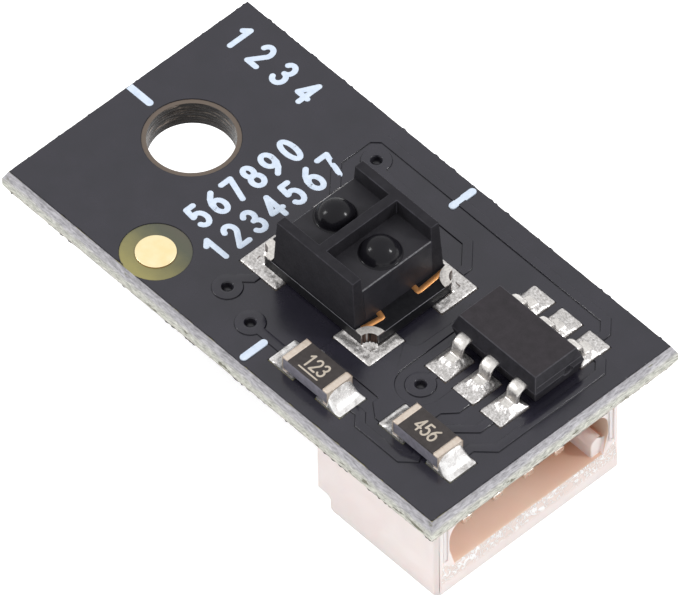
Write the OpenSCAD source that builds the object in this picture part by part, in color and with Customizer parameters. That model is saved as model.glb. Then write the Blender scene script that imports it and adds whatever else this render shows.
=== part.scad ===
// Reflective optical sensor on a small circuit board, in millimetres.
// The origin is on the axis of the mounting hole, at the laminate's top face.
// X runs along the board from the hole to the connector, and Z points away from the connector.

/* [Board] */
// Length of the board, between its snapped edges
board_l = 15; // [14.9:0.1:20]
// Width of the board, between its snapped edges
board_w = 8; // [8:0.1:12]
// Thickness of the laminate
core_t = 0.74; // [0.6:0.02:1.6]
// Thickness of the copper on each face
copper_t = 0.035; // [0.02:0.005:0.07]
// Thickness of the solder mask
mask_t = 0.02; // [0.01:0.005:0.03]
// Thickness of solder left under a soldered part
solder_t = 0.03; // [0.02:0.005:0.06]
// Diameter of the mounting hole
hole_d = 2.18; // [1.6:0.02:2.3]
// Distance from the hole's axis to the board's nearest end
hole_edge = 2.35; // [2.3:0.05:2.5]
// Width of the bare ring around the hole
hole_ring = 0.16; // [0.05:0.01:0.2]
// Width that the scored groove takes from each face at an edge
score_w = 0.12; // [0.05:0.01:0.2]
// Share of the laminate's thickness that is left to snap
web_share = 0.32; // [0.2:0.02:0.6]

/* [Marks, vias and tracks] */
// Diameter of the gold alignment disc
fiducial_d = 1.0; // [0.8:0.05:1.2]
// Diameter of the mask opening around the disc
fiducial_opening = 1.76; // [1.5:0.02:1.8]
// Distance from the disc's centre to the board's near edge
fiducial_edge = 0.98; // [0.9:0.02:1.2]
// Length of a printed centre mark
tick_l = 0.84; // [0.4:0.02:0.9]
// Width of a printed centre mark
tick_w = 0.2; // [0.12:0.02:0.3]
// Thickness of the print over a ridge
print_t = 0.02; // [0.01:0.005:0.04]
// Distance from a side mark's outer end to the mask's edge
tick_inset = 0.07; // [0.04:0.01:0.3]
// Diameter of a via's plated hole
via_d = 0.3; // [0.2:0.02:0.36]
// Thickness of a via's plating
via_plating = 0.04; // [0.02:0.01:0.06]
// Diameter of a via's copper land
via_land = 0.72; // [0.6:0.02:0.8]
// Width of a copper track
track_w = 0.2; // [0.15:0.01:0.3]
// Gap between a pad and the edge of its mask opening
pad_gap = 0.04; // [0.02:0.01:0.06]
// Gap between a via and the copper area around it, from the via's centre
pour_clear = 0.65; // [0.5:0.01:0.7]

/* [Sensor package] */
// Distance from the hole's axis to the middle of the sensor
sensor_x = 5.85; // [5.7:0.05:6]
// Length of the sensor's substrate, along X
substrate_l = 3.92; // [3.8:0.02:4]
// Width of the substrate, along Y
substrate_w = 2.94; // [2.9:0.02:3.1]
// Thickness of the substrate
substrate_t = 0.34; // [0.25:0.01:0.5]
// Radius of the plated notch at each corner
notch_r = 0.27; // [0.2:0.01:0.3]
// Thickness of the terminals' plating and of the traces
plating_t = 0.03; // [0.02:0.005:0.05]
// Width of the metal ring around a notch
ring_w = 0.22; // [0.15:0.01:0.24]
// Least gap between a ring and the moulding
ring_gap = 0.03; // [0.01:0.01:0.04]
// Width of a trace on the substrate
trace_w = 0.19; // [0.12:0.01:0.2]
// Distance from the substrate's middle to a trace's hook
trace_y = 0.55; // [0.4:0.05:0.65]
// Size of a solder pad for the sensor, along X
sensor_pad_l = 1.2; // [0.9:0.05:1.3]
// Size of a solder pad for the sensor, along Y
sensor_pad_w = 1.1; // [0.8:0.05:1.2]
// Distance that a pad shows beyond the substrate
sensor_pad_out = 0.26; // [0.15:0.01:0.3]

/* [Sensor moulding] */
// Length of the housing at its base, along X
shell_l = 2.84; // [2.7:0.02:2.86]
// Width of the housing at its base, along Y
shell_w = 2.88; // [2.7:0.02:2.88]
// Height of the housing above the substrate
shell_h = 1.52; // [1.4:0.02:2]
// Draft of the housing's end faces, over the whole height
end_draft = 0.1; // [0:0.01:0.15]
// Draft of the housing's side faces, over the whole height
side_draft = 0.04; // [0:0.01:0.1]
// Thickness of the side walls at the top
wall_t = 0.27; // [0.2:0.01:0.32]
// Thickness of the divider at the top
divider_t = 0.27; // [0.2:0.01:0.35]
// Extra thickness of walls and divider at the base
wall_taper = 0.06; // [0.02:0.01:0.1]
// Height of the epoxy blocks above the substrate
block_h = 1.08; // [0.8:0.02:1.12]
// Chamfer on an epoxy block's top end edge
block_chamfer = 0.025; // [0.01:0.005:0.05]
// Radius of a lens dome
dome_r = 0.43; // [0.35:0.01:0.46]
// Depth of the dome's centre below the top of its block
dome_sink = 0.03; // [0.01:0.01:0.1]
// Radius of the ring where the dome's foot meets the block
dome_foot_r = 0.54; // [0.52:0.01:0.56]
// Distance between the two domes
dome_pitch = 1.56; // [1.52:0.02:1.6]
// Width of the emitter chip
emitter_w = 0.34; // [0.2:0.02:0.4]
// Width of the detector chip
detector_w = 0.5; // [0.3:0.02:0.6]
// Thickness of both chips
die_t = 0.18; // [0.1:0.02:0.25]

/* [Chip with six leads] */
// Distance from the hole's axis to the chip's middle, along X
ic_x = 10.28; // [10.2:0.02:10.3]
// Distance from the board's middle line to the chip's middle, along Y
ic_y = 1.015; // [0.95:0.01:1.1]
// Length of the chip's body
ic_l = 2.9; // [2.8:0.02:3]
// Width of the chip's body
ic_w = 1.6; // [1.5:0.02:1.7]
// Thickness of the chip's body
ic_t = 0.86; // [0.8:0.02:1.1]
// Gap between the chip's body and the seat of its leads
ic_standoff = 0.05; // [0.02:0.01:0.1]
// Slope of the body's sides, from the parting line to the top
ic_draft = 0.13; // [0.05:0.01:0.15]
// Spacing of the leads
lead_pitch = 0.95; // [0.9:0.01:1]
// Width of a lead
lead_w = 0.4; // [0.3:0.02:0.45]
// Thickness of a lead
lead_t = 0.15; // [0.1:0.01:0.18]
// Width across the leads' toes
lead_span = 2.8; // [2.7:0.02:2.9]
// Length of a lead's foot
lead_foot = 0.36; // [0.3:0.02:0.4]
// Width of a chip pad
ic_pad_w = 0.65; // [0.5:0.01:0.7]
// Length of a chip pad
ic_pad_l = 0.88; // [0.7:0.02:0.9]
// Distance between the outer ends of the chip's pads
ic_pad_span = 3.51; // [3.4:0.01:3.6]

/* [Resistors] */
// Length of a resistor
resistor_l = 1.6; // [1.5:0.02:1.7]
// Width of a resistor
resistor_w = 0.8; // [0.7:0.02:0.85]
// Height of a resistor
resistor_h = 0.45; // [0.35:0.01:0.55]
// Length of an end cap over the top
cap_l = 0.25; // [0.15:0.01:0.35]
// Thickness of an end cap
cap_t = 0.04; // [0.02:0.01:0.06]
// Height of the dark coat above the end caps
coat_proud = 0.012; // [0:0.002:0.03]
// Distance between the outer ends of a resistor's pads
resistor_pad_span = 2.4; // [2.3:0.02:2.5]
// Length of a resistor's pad
resistor_pad_l = 0.78; // [0.6:0.02:0.8]

/* [Connector] */
// Spacing of the connector's contacts
contact_pitch = 1.0; // [0.9:0.02:1.05]
// Distance from a row's last contact to the housing's outer face
connector_end = 1.5; // [1.4:0.02:1.6]
// Depth of the connector, along X
connector_l = 4.25; // [4:0.05:4.5]
// Height of the connector
connector_h = 2.95; // [2.8:0.05:3.4]
// Distance from the board's end to the connector's mouth
connector_inset = 0.55; // [0.5:0.01:0.8]
// Distance from the board's middle line to the connector's middle
connector_y = -0.33; // [-0.4:0.01:-0.3]
// Depth of the mouth
mouth_depth = 3.3; // [3:0.05:3.35]
// Thickness of the wall under the mouth, away from the board
lip_h = 0.84; // [0.7:0.02:0.9]
// Thickness of the wall over the mouth, beside the board
roof_h = 0.915; // [0.5:0.005:1]
// Thickness of the side walls at their thinnest
side_wall = 0.42; // [0.36:0.01:0.46]
// Depth that the mouth's lower corners stand in from its side walls
mouth_waist = 0.17; // [0.05:0.01:0.2]
// Share of the mouth's height over which its sides slope
waist_share = 0.55; // [0.3:0.01:0.7]
// Width of the mouth's rounded upper corners
mouth_corner_w = 0.47; // [0.3:0.01:0.6]
// Height of the mouth's rounded upper corners
mouth_corner_h = 0.23; // [0.1:0.01:0.3]
// Length of the raised step at the rear
step_l = 0.64; // [0.4:0.02:0.7]
// Height of the step at the rear
step_h = 0.48; // [0.3:0.02:0.6]
// Chamfer on the housing's upright corners
corner_chamfer = 0.12; // [0.05:0.01:0.14]
// Width of a contact
contact_w = 0.3; // [0.2:0.02:0.36]
// Thickness of a contact
contact_t = 0.2; // [0.15:0.01:0.22]
// Distance from the mouth to a contact's tip
contact_recess = 0.53; // [0.4:0.01:1.2]
// Height of a contact's middle above the mouth's floor
contact_rise = 0.42; // [0.3:0.01:0.6]
// Length of a contact's tail behind the housing
tail_l = 0.95; // [0.8:0.05:1]
// Width of a contact's pad
contact_pad_w = 0.6; // [0.5:0.02:0.65]
// Length of a contact's pad
contact_pad_l = 1.55; // [1.5:0.01:1.7]
// Thickness of a hold-down tab
tab_t = 0.12; // [0.1:0.01:0.14]
// Length of a hold-down tab, along X
tab_l = 1.2; // [1:0.05:1.4]
// Distance that a hold-down tab stands out from the housing
tab_out = 0.34; // [0.2:0.02:0.36]
// Clearance around metal that passes through the housing
press_gap = 0.01; // [0.005:0.005:0.02]

/* [Hidden] */

$fn = 48;
over = 0.05;

// Levels above and below the laminate's top face
top_seat = copper_t + solder_t;
bottom_face = -core_t;
bottom_seat = bottom_face - copper_t - solder_t;
ridge_t = copper_t + mask_t;

// Edges of the board and of its mask
board_left = -hole_edge;
board_right = board_l - hole_edge;
mask_left = board_left + score_w;
mask_right = board_right - score_w;
mask_side = board_w / 2 - score_w;
hole_r = hole_d / 2;

// Vias and the alignment disc
via_r = via_d / 2;
barrel_r = via_r + via_plating;
land_r = via_land / 2;
vias = [[4, -2.53], [5.18, -2.88], [9.33, -1.24], [3.57, 2.71]];
fiducial_at = [2.02, fiducial_edge - board_w / 2];

// Sensor package
corners = [[-1, -1], [1, -1], [1, 1], [-1, 1]];
land_z = top_seat;
substrate_z = land_z + plating_t;
deck_z = substrate_z + substrate_t;
shell_top = deck_z + shell_h;
block_top = deck_z + block_h;
ring_r = notch_r + ring_w;
dome_z = block_top - dome_sink;
foot_fillet = (pow(dome_foot_r, 2) + pow(dome_sink, 2) - pow(dome_r, 2)) / (2 * (dome_r - dome_sink));
foot_meets = (foot_fillet + dome_sink) * dome_r / (dome_r + foot_fillet) - dome_sink;
sensor_pad_x = substrate_l / 2 + sensor_pad_out - sensor_pad_l / 2;
sensor_pad_y = substrate_w / 2 + sensor_pad_out - sensor_pad_w / 2;

// Chip
ic_z = top_seat + ic_standoff;
ic_top = ic_z + ic_t;
ic_part_z = ic_z + ic_t / 2;
lead_root = 0.16;
lead_bend = 0.09 + lead_t / 2;
lead_foot_z = top_seat + lead_t / 2;
lead_sides = [-1, -1, -1, 1, 1, 1];
lead_columns = [-1, 0, 1, 1, 0, -1];
ic_pad_y = (ic_pad_span - ic_pad_l) / 2;
index_mark_r = 0.14;

// Resistors
resistor_at = [[7.53, -2.9], [10.74, -2.34]];
resistor_pad_x = (resistor_pad_span - resistor_pad_l) / 2;
ceramic_z = top_seat + cap_t;
ceramic_h = resistor_h - 2 * cap_t;

// Connector
contact_count = 4;
connector_w = (contact_count - 1) * contact_pitch + 2 * connector_end;
connector_front = board_right - connector_inset;
connector_rear = connector_front - connector_l;
connector_bottom = bottom_seat - connector_h;
connector_left = connector_y - connector_w / 2;
mouth_floor = connector_bottom + lip_h;
mouth_roof = bottom_seat - roof_h;
mouth_half = connector_w / 2 - side_wall;
mouth_waist_z = mouth_floor + waist_share * (mouth_roof - mouth_floor);
contact_z = mouth_floor + contact_rise;
tail_x = connector_rear - 0.32;
key_w = 0.45;
key_h = 0.55;
tab_y = connector_w / 2 - 0.3;
tab_depth = 1.8;
tab_back = connector_front - 0.3 - tab_l;
tab_pad = [1.8, 1.2];
tab_pad_x = connector_front - 0.7;
tab_pad_y = connector_w / 2 - 0.2;
contact_pad_x = connector_rear - tail_l - 0.15 + contact_pad_l / 2;

// Tracks, each a list of points from one pad or via to another
end_track_x = mask_right - 0.56;
near_pad_y = ic_y - ic_pad_y;
far_pad_y = ic_y + ic_pad_y;
resistor_pad = [for (at = resistor_at, side = [-1, 1]) at + [side * resistor_pad_x, 0]];
top_tracks = [
  [vias[0], vias[0] + [0, 0.4], vias[0] + [0.22, 0.62], [sensor_x - sensor_pad_x, -sensor_pad_y]],
  [vias[1], [resistor_pad[0][0], vias[1][1]]],
  [resistor_pad[1] + [0, 0.02], [9, -2.88], [9.24, -3.12], [10.62, -3.12], [10.88, -2.86], [10.72, -2.5],
    [10.72, -1.72], [11.25, -1.17], [11.25, near_pad_y]],
  [resistor_pad[3], [resistor_pad[3][0], -1.68], [end_track_x, -1.26], [end_track_x, 2.1],
    [end_track_x - 0.25, 2.35], [ic_x + lead_pitch, 2.35]],
  [[4, 0.94], [2.94, 2], [2.94, 3.04], [3.2, 3.3], [10.9, 3.3], [11.2, 3], [11.2, far_pad_y]],
  [vias[3], vias[3] + [0.16, -0.16], [6.92, vias[3][1] - 0.16], [sensor_x + sensor_pad_x, 2],
    [sensor_x + sensor_pad_x, sensor_pad_y]],
  [vias[2], [vias[2][0], near_pad_y]],
  [[8.58, -0.1], [8.58, 2], [8.9, far_pad_y], [ic_x - lead_pitch, far_pad_y]]
];
// Outline of the copper area that joins the sensor, the chip's middle lead and a resistor
pour = concat(
  [[6.95, -1.5], [6.95, -2.22], [8.97, -2.22], [8.97, -2.42], [9.35, -2.7], [9.9, -2.7], [10.28, -2.3],
    [10.28, -1.5], [10.56, -1.17], [10.56, -0.5], [vias[2][0] + pour_clear, -0.5]],
  [for (a = [0 : -15 : -180]) vias[2] + pour_clear * [cos(a), sin(a)]],
  [[vias[2][0] - pour_clear, 0.1], [8.47, 0.1]],
  [for (a = [0 : -15 : -90]) [8.12, -0.3] + 0.35 * [cos(a), sin(a)]],
  [[7.9, -0.75]]
);
bottom_tracks = [
  [vias[1], [6, contact_row(0)], [contact_pad_x, contact_row(0)]],
  [vias[0], [5.2, contact_row(1)], [contact_pad_x, contact_row(1)]],
  [vias[2], [8.9, contact_row(2)], [contact_pad_x, contact_row(2)]],
  [vias[3], [5, contact_row(3)], [contact_pad_x, contact_row(3)]]
];

// Place of a contact across the connector, counted from 0
function contact_row(i) = connector_y + (i - (contact_count - 1) / 2) * contact_pitch;

// Outline of a strip of even width along a list of points
function unit(v) = v / norm(v);
function left_of(a, b) = let (d = unit(b - a)) [-d[1], d[0]];
function mitre(path, i) =
  let (
    before = max(i - 1, 0),
    after = min(i, len(path) - 2),
    n0 = left_of(path[before], path[before + 1]),
    n1 = left_of(path[after], path[after + 1])
  ) (n0 + n1) / (1 + n0 * n1);
function strip(path, w) = concat(
  [for (i = [0 : len(path) - 1]) path[i] + mitre(path, i) * w / 2],
  [for (i = [len(path) - 1 : -1 : 0]) path[i] - mitre(path, i) * w / 2]
);

// A closed outline, listed counterclockwise, moved outward by a distance
function grown(outline, d) =
  let (n = len(outline)) [for (i = [0 : n - 1])
    let (
      n0 = left_of(outline[(i + n - 1) % n], outline[i]),
      n1 = left_of(outline[i], outline[(i + 1) % n])
    ) outline[i] - d * (n0 + n1) / (1 + n0 * n1)];

// The same list of points with its corners turned into arcs
function corner_arc(a, b, c, r, steps) =
  let (
    u = unit(a - b),
    v = unit(c - b),
    half = acos(u * v) / 2,
    centre = b + unit(u + v) * r / sin(half),
    from = b + u * r / tan(half) - centre,
    to = b + v * r / tan(half) - centre,
    start = atan2(from[1], from[0]),
    turn = (atan2(to[1], to[0]) - start + 540) % 360 - 180
  ) [for (k = [0 : steps]) centre + r * [cos(start + turn * k / steps), sin(start + turn * k / steps)]];
function rounded(path, r, steps = 6) = concat(
  [path[0]],
  [for (i = [1 : len(path) - 2]) each corner_arc(path[i - 1], path[i], path[i + 1], r, steps)],
  [path[len(path) - 1]]
);

// Outline of a solder fillet between a pad and an upright face at x = 0
function fillet_outline(l, h, steps = 6) = concat(
  [[0, 0]],
  [for (k = [0 : steps]) [l * (1 - sin(90 * k / steps)), h * (1 - cos(90 * k / steps))]]
);

// Extrusions of an outline along each axis
module along_x(x0, x1) {
  translate([x0, 0, 0]) rotate([90, 0, 90]) linear_extrude(x1 - x0) children();
}
module along_y(y0, y1) {
  translate([0, y1, 0]) rotate([90, 0, 0]) linear_extrude(y1 - y0) children();
}
module upward(z0, z1) {
  translate([0, 0, z0]) linear_extrude(z1 - z0) children();
}

module disc(at, r, z0, z1) {
  translate([at[0], at[1], z0]) cylinder(r = r, h = z1 - z0);
}

// Outlines of the pads, each grown by a margin
module pad(x, y, l, w, grow) {
  translate([x - l / 2 - grow, y - w / 2 - grow]) square([l + 2 * grow, w + 2 * grow]);
}
module sensor_pads(grow) {
  for (c = corners)
    pad(sensor_x + c[0] * sensor_pad_x, c[1] * sensor_pad_y, sensor_pad_l, sensor_pad_w, grow);
}
module ic_pads(grow) {
  for (side = [-1, 1], column = [-1 : 1])
    pad(ic_x + column * lead_pitch, ic_y + side * ic_pad_y, ic_pad_w, ic_pad_l, grow);
}
module resistor_pads(i, grow) {
  for (side = [-1, 1])
    pad(resistor_at[i][0] + side * resistor_pad_x, resistor_at[i][1], resistor_pad_l, resistor_w, grow);
}
module top_pads(grow) {
  sensor_pads(grow);
  ic_pads(grow);
  resistor_pads(0, grow);
  resistor_pads(1, grow);
}
module contact_pads(grow) {
  for (i = [0 : contact_count - 1])
    pad(contact_pad_x, contact_row(i), contact_pad_l, contact_pad_w, grow);
}
module tab_pads(grow) {
  for (side = [-1, 1])
    pad(tab_pad_x, connector_y + side * tab_pad_y, tab_pad[0], tab_pad[1], grow);
}
module bottom_pads(grow) {
  contact_pads(grow);
  tab_pads(grow);
}

module tracks(paths, w, z0, z1) {
  for (path = paths)
    upward(z0, z1) polygon(strip(path, w));
}
module via_discs(r, z0, z1) {
  for (at = vias)
    disc(at, r, z0, z1);
}

// Laminate: two crossed extrusions give the scored groove on all four edges
module score_profile(length) {
  web = core_t * web_share;
  bevel = (core_t - web) / 2;
  polygon([
    [score_w, 0], [length - score_w, 0], [length, -bevel], [length, -bevel - web],
    [length - score_w, -core_t], [score_w, -core_t], [0, -bevel - web], [0, -bevel]
  ]);
}
module circuit_board() {
  color([0.78, 0.78, 0.74]) difference() {
    intersection() {
      along_y(-board_w / 2 - over, board_w / 2 + over)
        translate([board_left, 0]) score_profile(board_l);
      along_x(board_left - over, board_right + over)
        translate([-board_w / 2, 0]) score_profile(board_w);
    }
    disc([0, 0], hole_r, -core_t - over, over);
    via_discs(barrel_r, -core_t - over, over);
  }
}

module top_copper() {
  color([0.72, 0.42, 0.25]) difference() {
    union() {
      upward(0, copper_t) top_pads(0);
      tracks(top_tracks, track_w, 0, copper_t);
      upward(0, copper_t) polygon(pour);
      via_discs(land_r, 0, copper_t);
    }
    via_discs(barrel_r, -over, copper_t + over);
  }
}
module bottom_copper() {
  color([0.72, 0.42, 0.25]) difference() {
    union() {
      upward(bottom_face - copper_t, bottom_face) bottom_pads(0);
      tracks(bottom_tracks, track_w, bottom_face - copper_t, bottom_face);
      via_discs(land_r, bottom_face - copper_t, bottom_face);
    }
    via_discs(barrel_r, bottom_face - copper_t - over, bottom_face + over);
  }
}
module via_barrels() {
  color([0.72, 0.42, 0.25]) difference() {
    via_discs(barrel_r, bottom_face - copper_t, copper_t);
    via_discs(via_r, bottom_face - copper_t - over, copper_t + over);
  }
}

// Mask: a film with a ridge over each track, cut away over the pads
module mask_sheet() {
  translate([mask_left, -mask_side]) square([mask_right - mask_left, 2 * mask_side]);
}
module top_solder_mask() {
  color([0.18, 0.18, 0.2]) difference() {
    union() {
      upward(0, mask_t) mask_sheet();
      intersection() {
        upward(0, ridge_t) mask_sheet();
        union() {
          tracks(top_tracks, track_w + 2 * mask_t, 0, ridge_t);
          upward(0, ridge_t) polygon(grown(pour, mask_t));
          via_discs(land_r + mask_t, 0, ridge_t);
        }
      }
    }
    tracks(top_tracks, track_w, -over, copper_t);
    upward(-over, copper_t) polygon(pour);
    via_discs(land_r, -over, copper_t);
    via_discs(via_r, -over, ridge_t + over);
    upward(-over, ridge_t + over) top_pads(pad_gap);
    disc([0, 0], hole_r + hole_ring, -over, ridge_t + over);
    disc(fiducial_at, fiducial_opening / 2, -over, ridge_t + over);
  }
}
module bottom_solder_mask() {
  color([0.18, 0.18, 0.2]) difference() {
    union() {
      upward(bottom_face - mask_t, bottom_face) mask_sheet();
      intersection() {
        upward(bottom_face - ridge_t, bottom_face) mask_sheet();
        union() {
          tracks(bottom_tracks, track_w + 2 * mask_t, bottom_face - ridge_t, bottom_face);
          via_discs(land_r + mask_t, bottom_face - ridge_t, bottom_face);
        }
      }
    }
    tracks(bottom_tracks, track_w, bottom_face - copper_t, bottom_face + over);
    via_discs(land_r, bottom_face - copper_t, bottom_face + over);
    via_discs(via_r, bottom_face - ridge_t - over, bottom_face + over);
    upward(bottom_face - ridge_t - over, bottom_face + over) bottom_pads(pad_gap);
    disc([0, 0], hole_r + hole_ring, bottom_face - ridge_t - over, bottom_face + over);
  }
}

module fiducial() {
  color([0.93, 0.78, 0.45]) disc(fiducial_at, fiducial_d / 2, 0, copper_t);
}

// Printed centre marks with round ends, laid over the mask and its ridges
module tick(at, turn, square_start) {
  r = tick_w / 2;
  end = [for (a = [-90 : 15 : 90]) [tick_l - r, 0] + r * [cos(a), sin(a)]];
  start = square_start ? [[0, r], [0, -r]] : [for (a = [90 : 15 : 270]) [r, 0] + r * [cos(a), sin(a)]];
  translate(at) rotate(turn) polygon(concat(end, start));
}
module silkscreen_ticks() {
  color([0.85, 0.88, 0.93]) difference() {
    upward(mask_t, ridge_t + print_t) {
      tick([mask_left, 0], 0, true);
      tick([sensor_x, mask_side - tick_inset], -90, false);
      tick([sensor_x, tick_inset - mask_side], 90, false);
    }
    tracks(top_tracks, track_w + 2 * mask_t, 0, ridge_t);
  }
}

// Sensor package
module at_corner(i) {
  translate([sensor_x + corners[i][0] * substrate_l / 2, corners[i][1] * substrate_w / 2, 0])
    rotate([0, 0, 90 * i]) children();
}
module sensor_substrate() {
  color([0.12, 0.12, 0.13]) difference() {
    translate([sensor_x - substrate_l / 2, -substrate_w / 2, substrate_z])
      cube([substrate_l, substrate_w, substrate_t]);
    for (i = [0 : 3])
      at_corner(i) translate([0, 0, substrate_z - over])
        cylinder(r = notch_r + plating_t, h = substrate_t + 2 * over);
  }
}
module sensor_terminal(i) {
  color([0.8, 0.8, 0.8]) difference() {
    at_corner(i) rotate_extrude(angle = 90) {
      translate([notch_r, land_z]) square([plating_t, deck_z + plating_t - land_z]);
      translate([notch_r, land_z]) square([ring_w, plating_t]);
      translate([notch_r, deck_z]) square([ring_w, plating_t]);
    }
    shell_block(ring_gap);
  }
}
module sensor_traces() {
  leg_x = (shell_l / 2 + substrate_l / 2) / 2 - 0.08;
  color([0.85, 0.5, 0.25]) difference() {
    for (c = corners)
      upward(deck_z, deck_z + plating_t) polygon(strip([
        [sensor_x + c[0] * leg_x, c[1] * (substrate_w / 2 - notch_r)],
        [sensor_x + c[0] * leg_x, c[1] * trace_y],
        [sensor_x + c[0] * shell_l / 2, c[1] * (trace_y + 0.04)]
      ], trace_w));
    for (i = [0 : 3])
      at_corner(i) translate([0, 0, deck_z - over]) cylinder(r = ring_r, h = plating_t + 2 * over);
    shell_block();
  }
}

// Outside of the sensor's moulding, two crossed tapers, with a gap kept clear around it
module shell_block(gap = 0) {
  half_l = shell_l / 2 + gap;
  half_w = shell_w / 2 + gap;
  base = deck_z - gap;
  intersection() {
    along_y(-shell_w, shell_w) polygon([
      [sensor_x - half_l, base], [sensor_x + half_l, base],
      [sensor_x + half_l - end_draft, shell_top], [sensor_x - half_l + end_draft, shell_top]
    ]);
    along_x(sensor_x - shell_l, sensor_x + shell_l) polygon([
      [-half_w, base], [half_w, base],
      [half_w - side_draft, shell_top], [-half_w + side_draft, shell_top]
    ]);
  }
}
// One of the two bays, open at its outer end; side is -1 or 1
module bay(side, top) {
  base_y = shell_w / 2 - wall_t - side_draft - wall_taper;
  top_y = base_y + wall_taper;
  inner_top = divider_t / 2;
  inner_base = inner_top + wall_taper / 2;
  height_share = (top - deck_z) / shell_h;
  intersection() {
    along_x(sensor_x - shell_l, sensor_x + shell_l) polygon([
      [-base_y, deck_z], [base_y, deck_z],
      [base_y + (top_y - base_y) * height_share, top], [-base_y - (top_y - base_y) * height_share, top]
    ]);
    along_y(-shell_w, shell_w) polygon([
      [sensor_x + side * inner_base, deck_z], [sensor_x + side * shell_l, deck_z],
      [sensor_x + side * shell_l, top],
      [sensor_x + side * (inner_base - (inner_base - inner_top) * height_share), top]
    ]);
  }
}
module sensor_housing() {
  color([0.13, 0.13, 0.15]) difference() {
    shell_block();
    bay(-1, shell_top + over);
    bay(1, shell_top + over);
  }
}

// Profile of a lens dome with its fillet, turned about its axis
module dome_profile() {
  intersection() {
    translate([0, dome_z]) circle(dome_r);
    translate([0, block_top - over]) square([dome_r, dome_r + over]);
  }
  difference() {
    translate([0, block_top - over]) square([dome_foot_r, foot_meets + over]);
    translate([dome_foot_r, block_top + foot_fillet]) circle(foot_fillet);
  }
}
module lens(side, die_w) {
  end_at_top = shell_l / 2 - end_draft * block_h / shell_h;
  color([0.1, 0.1, 0.11]) difference() {
    union() {
      intersection() {
        shell_block();
        bay(side, block_top);
      }
      translate([sensor_x + side * dome_pitch / 2, 0, 0]) rotate_extrude() dome_profile();
    }
    along_y(-shell_w, shell_w) polygon([
      [sensor_x + side * (end_at_top - block_chamfer), block_top],
      [sensor_x + side * (end_at_top + over), block_top],
      [sensor_x + side * (end_at_top + over), block_top - block_chamfer - over]
    ]);
    die(side, die_w);
  }
}
module die(side, w) {
  color([0.55, 0.55, 0.6]) translate([sensor_x + side * dome_pitch / 2 - w / 2, -w / 2, deck_z])
    cube([w, w, die_t]);
}

// Chip
module ic_lead(i) {
  side = lead_sides[i];
  x = ic_x + lead_columns[i] * lead_pitch;
  knee = lead_span / 2 - lead_foot;
  path = rounded([
    [ic_w / 2 - lead_root, ic_part_z],
    [knee - 0.08, ic_part_z],
    [knee, lead_foot_z],
    [lead_span / 2, lead_foot_z]
  ], lead_bend);
  outline = strip([for (p = path) [ic_y + side * p[0], p[1]]], lead_t);
  color([0.82, 0.81, 0.78]) along_x(x - lead_w / 2, x + lead_w / 2) polygon(outline);
}
module ic_section(half, middle) {
  polygon([
    [middle - half + ic_draft * 0.8, ic_z], [middle + half - ic_draft * 0.8, ic_z],
    [middle + half, ic_part_z], [middle + half - ic_draft, ic_top],
    [middle - half + ic_draft, ic_top], [middle - half, ic_part_z]
  ]);
}
module ic_body() {
  color([0.24, 0.23, 0.23]) difference() {
    intersection() {
      along_y(ic_y - ic_w, ic_y + ic_w) ic_section(ic_l / 2, ic_x);
      along_x(ic_x - ic_l, ic_x + ic_l) ic_section(ic_w / 2, ic_y);
    }
    for (i = [0 : 5])
      ic_lead(i);
    translate([ic_x + ic_l / 2 - 0.06, ic_y + ic_w * 0.18, ic_part_z - 0.02])
      rotate([0, 90, 0]) cylinder(r = index_mark_r, h = 1);
  }
}

// Resistors
module resistor_body(i) {
  color([0.5, 0.5, 0.55])
    translate([resistor_at[i][0] - resistor_l / 2 + cap_t, resistor_at[i][1] - resistor_w / 2, ceramic_z])
      cube([resistor_l - 2 * cap_t, resistor_w, ceramic_h]);
}
module resistor_coat(i) {
  l = resistor_l - 2 * cap_l;
  color([0.2, 0.19, 0.19])
    translate([resistor_at[i][0] - l / 2, resistor_at[i][1] - resistor_w / 2, ceramic_z + ceramic_h])
      cube([l, resistor_w, cap_t + coat_proud]);
}
module resistor_cap(i, side) {
  bevel = cap_t * 0.7;
  end = resistor_at[i][0] + side * resistor_l / 2;
  top = top_seat + resistor_h;
  color([0.86, 0.82, 0.76]) difference() {
    along_y(resistor_at[i][1] - resistor_w / 2, resistor_at[i][1] + resistor_w / 2) polygon([
      [end - side * cap_l, top_seat], [end - side * bevel, top_seat], [end, top_seat + bevel],
      [end, top - bevel], [end - side * bevel, top], [end - side * cap_l, top]
    ]);
    resistor_body(i);
  }
}

// Connector: its outline from above, its side profile and its mouth
module connector_plan() {
  c = corner_chamfer;
  half = connector_w / 2;
  polygon([
    [connector_rear + c, connector_y - half], [connector_front - c, connector_y - half],
    [connector_front, connector_y - half + c], [connector_front, connector_y + half - c],
    [connector_front - c, connector_y + half], [connector_rear + c, connector_y + half],
    [connector_rear, connector_y + half - c], [connector_rear, connector_y - half + c]
  ]);
}
module connector_side() {
  step_z = connector_bottom + step_h;
  slope = 0.1;
  polygon([
    [connector_rear, bottom_seat], [connector_front, bottom_seat],
    [connector_front, connector_bottom], [connector_rear + step_l, connector_bottom],
    [connector_rear + step_l - slope, connector_bottom + slope],
    [connector_rear + step_l - slope, step_z - slope],
    [connector_rear + step_l - 2 * slope, step_z], [connector_rear, step_z]
  ]);
}
module mouth_section() {
  half = concat(
    [[mouth_half - mouth_waist, mouth_floor], [mouth_half, mouth_waist_z]],
    [for (a = [0 : 15 : 90])
      [mouth_half - mouth_corner_w * (1 - cos(a)), mouth_roof - mouth_corner_h * (1 - sin(a))]]
  );
  polygon(concat(
    [for (p = half) [connector_y + p[0], p[1]]],
    [for (i = [len(half) - 1 : -1 : 0]) [connector_y - half[i][0], half[i][1]]]
  ));
}
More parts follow.
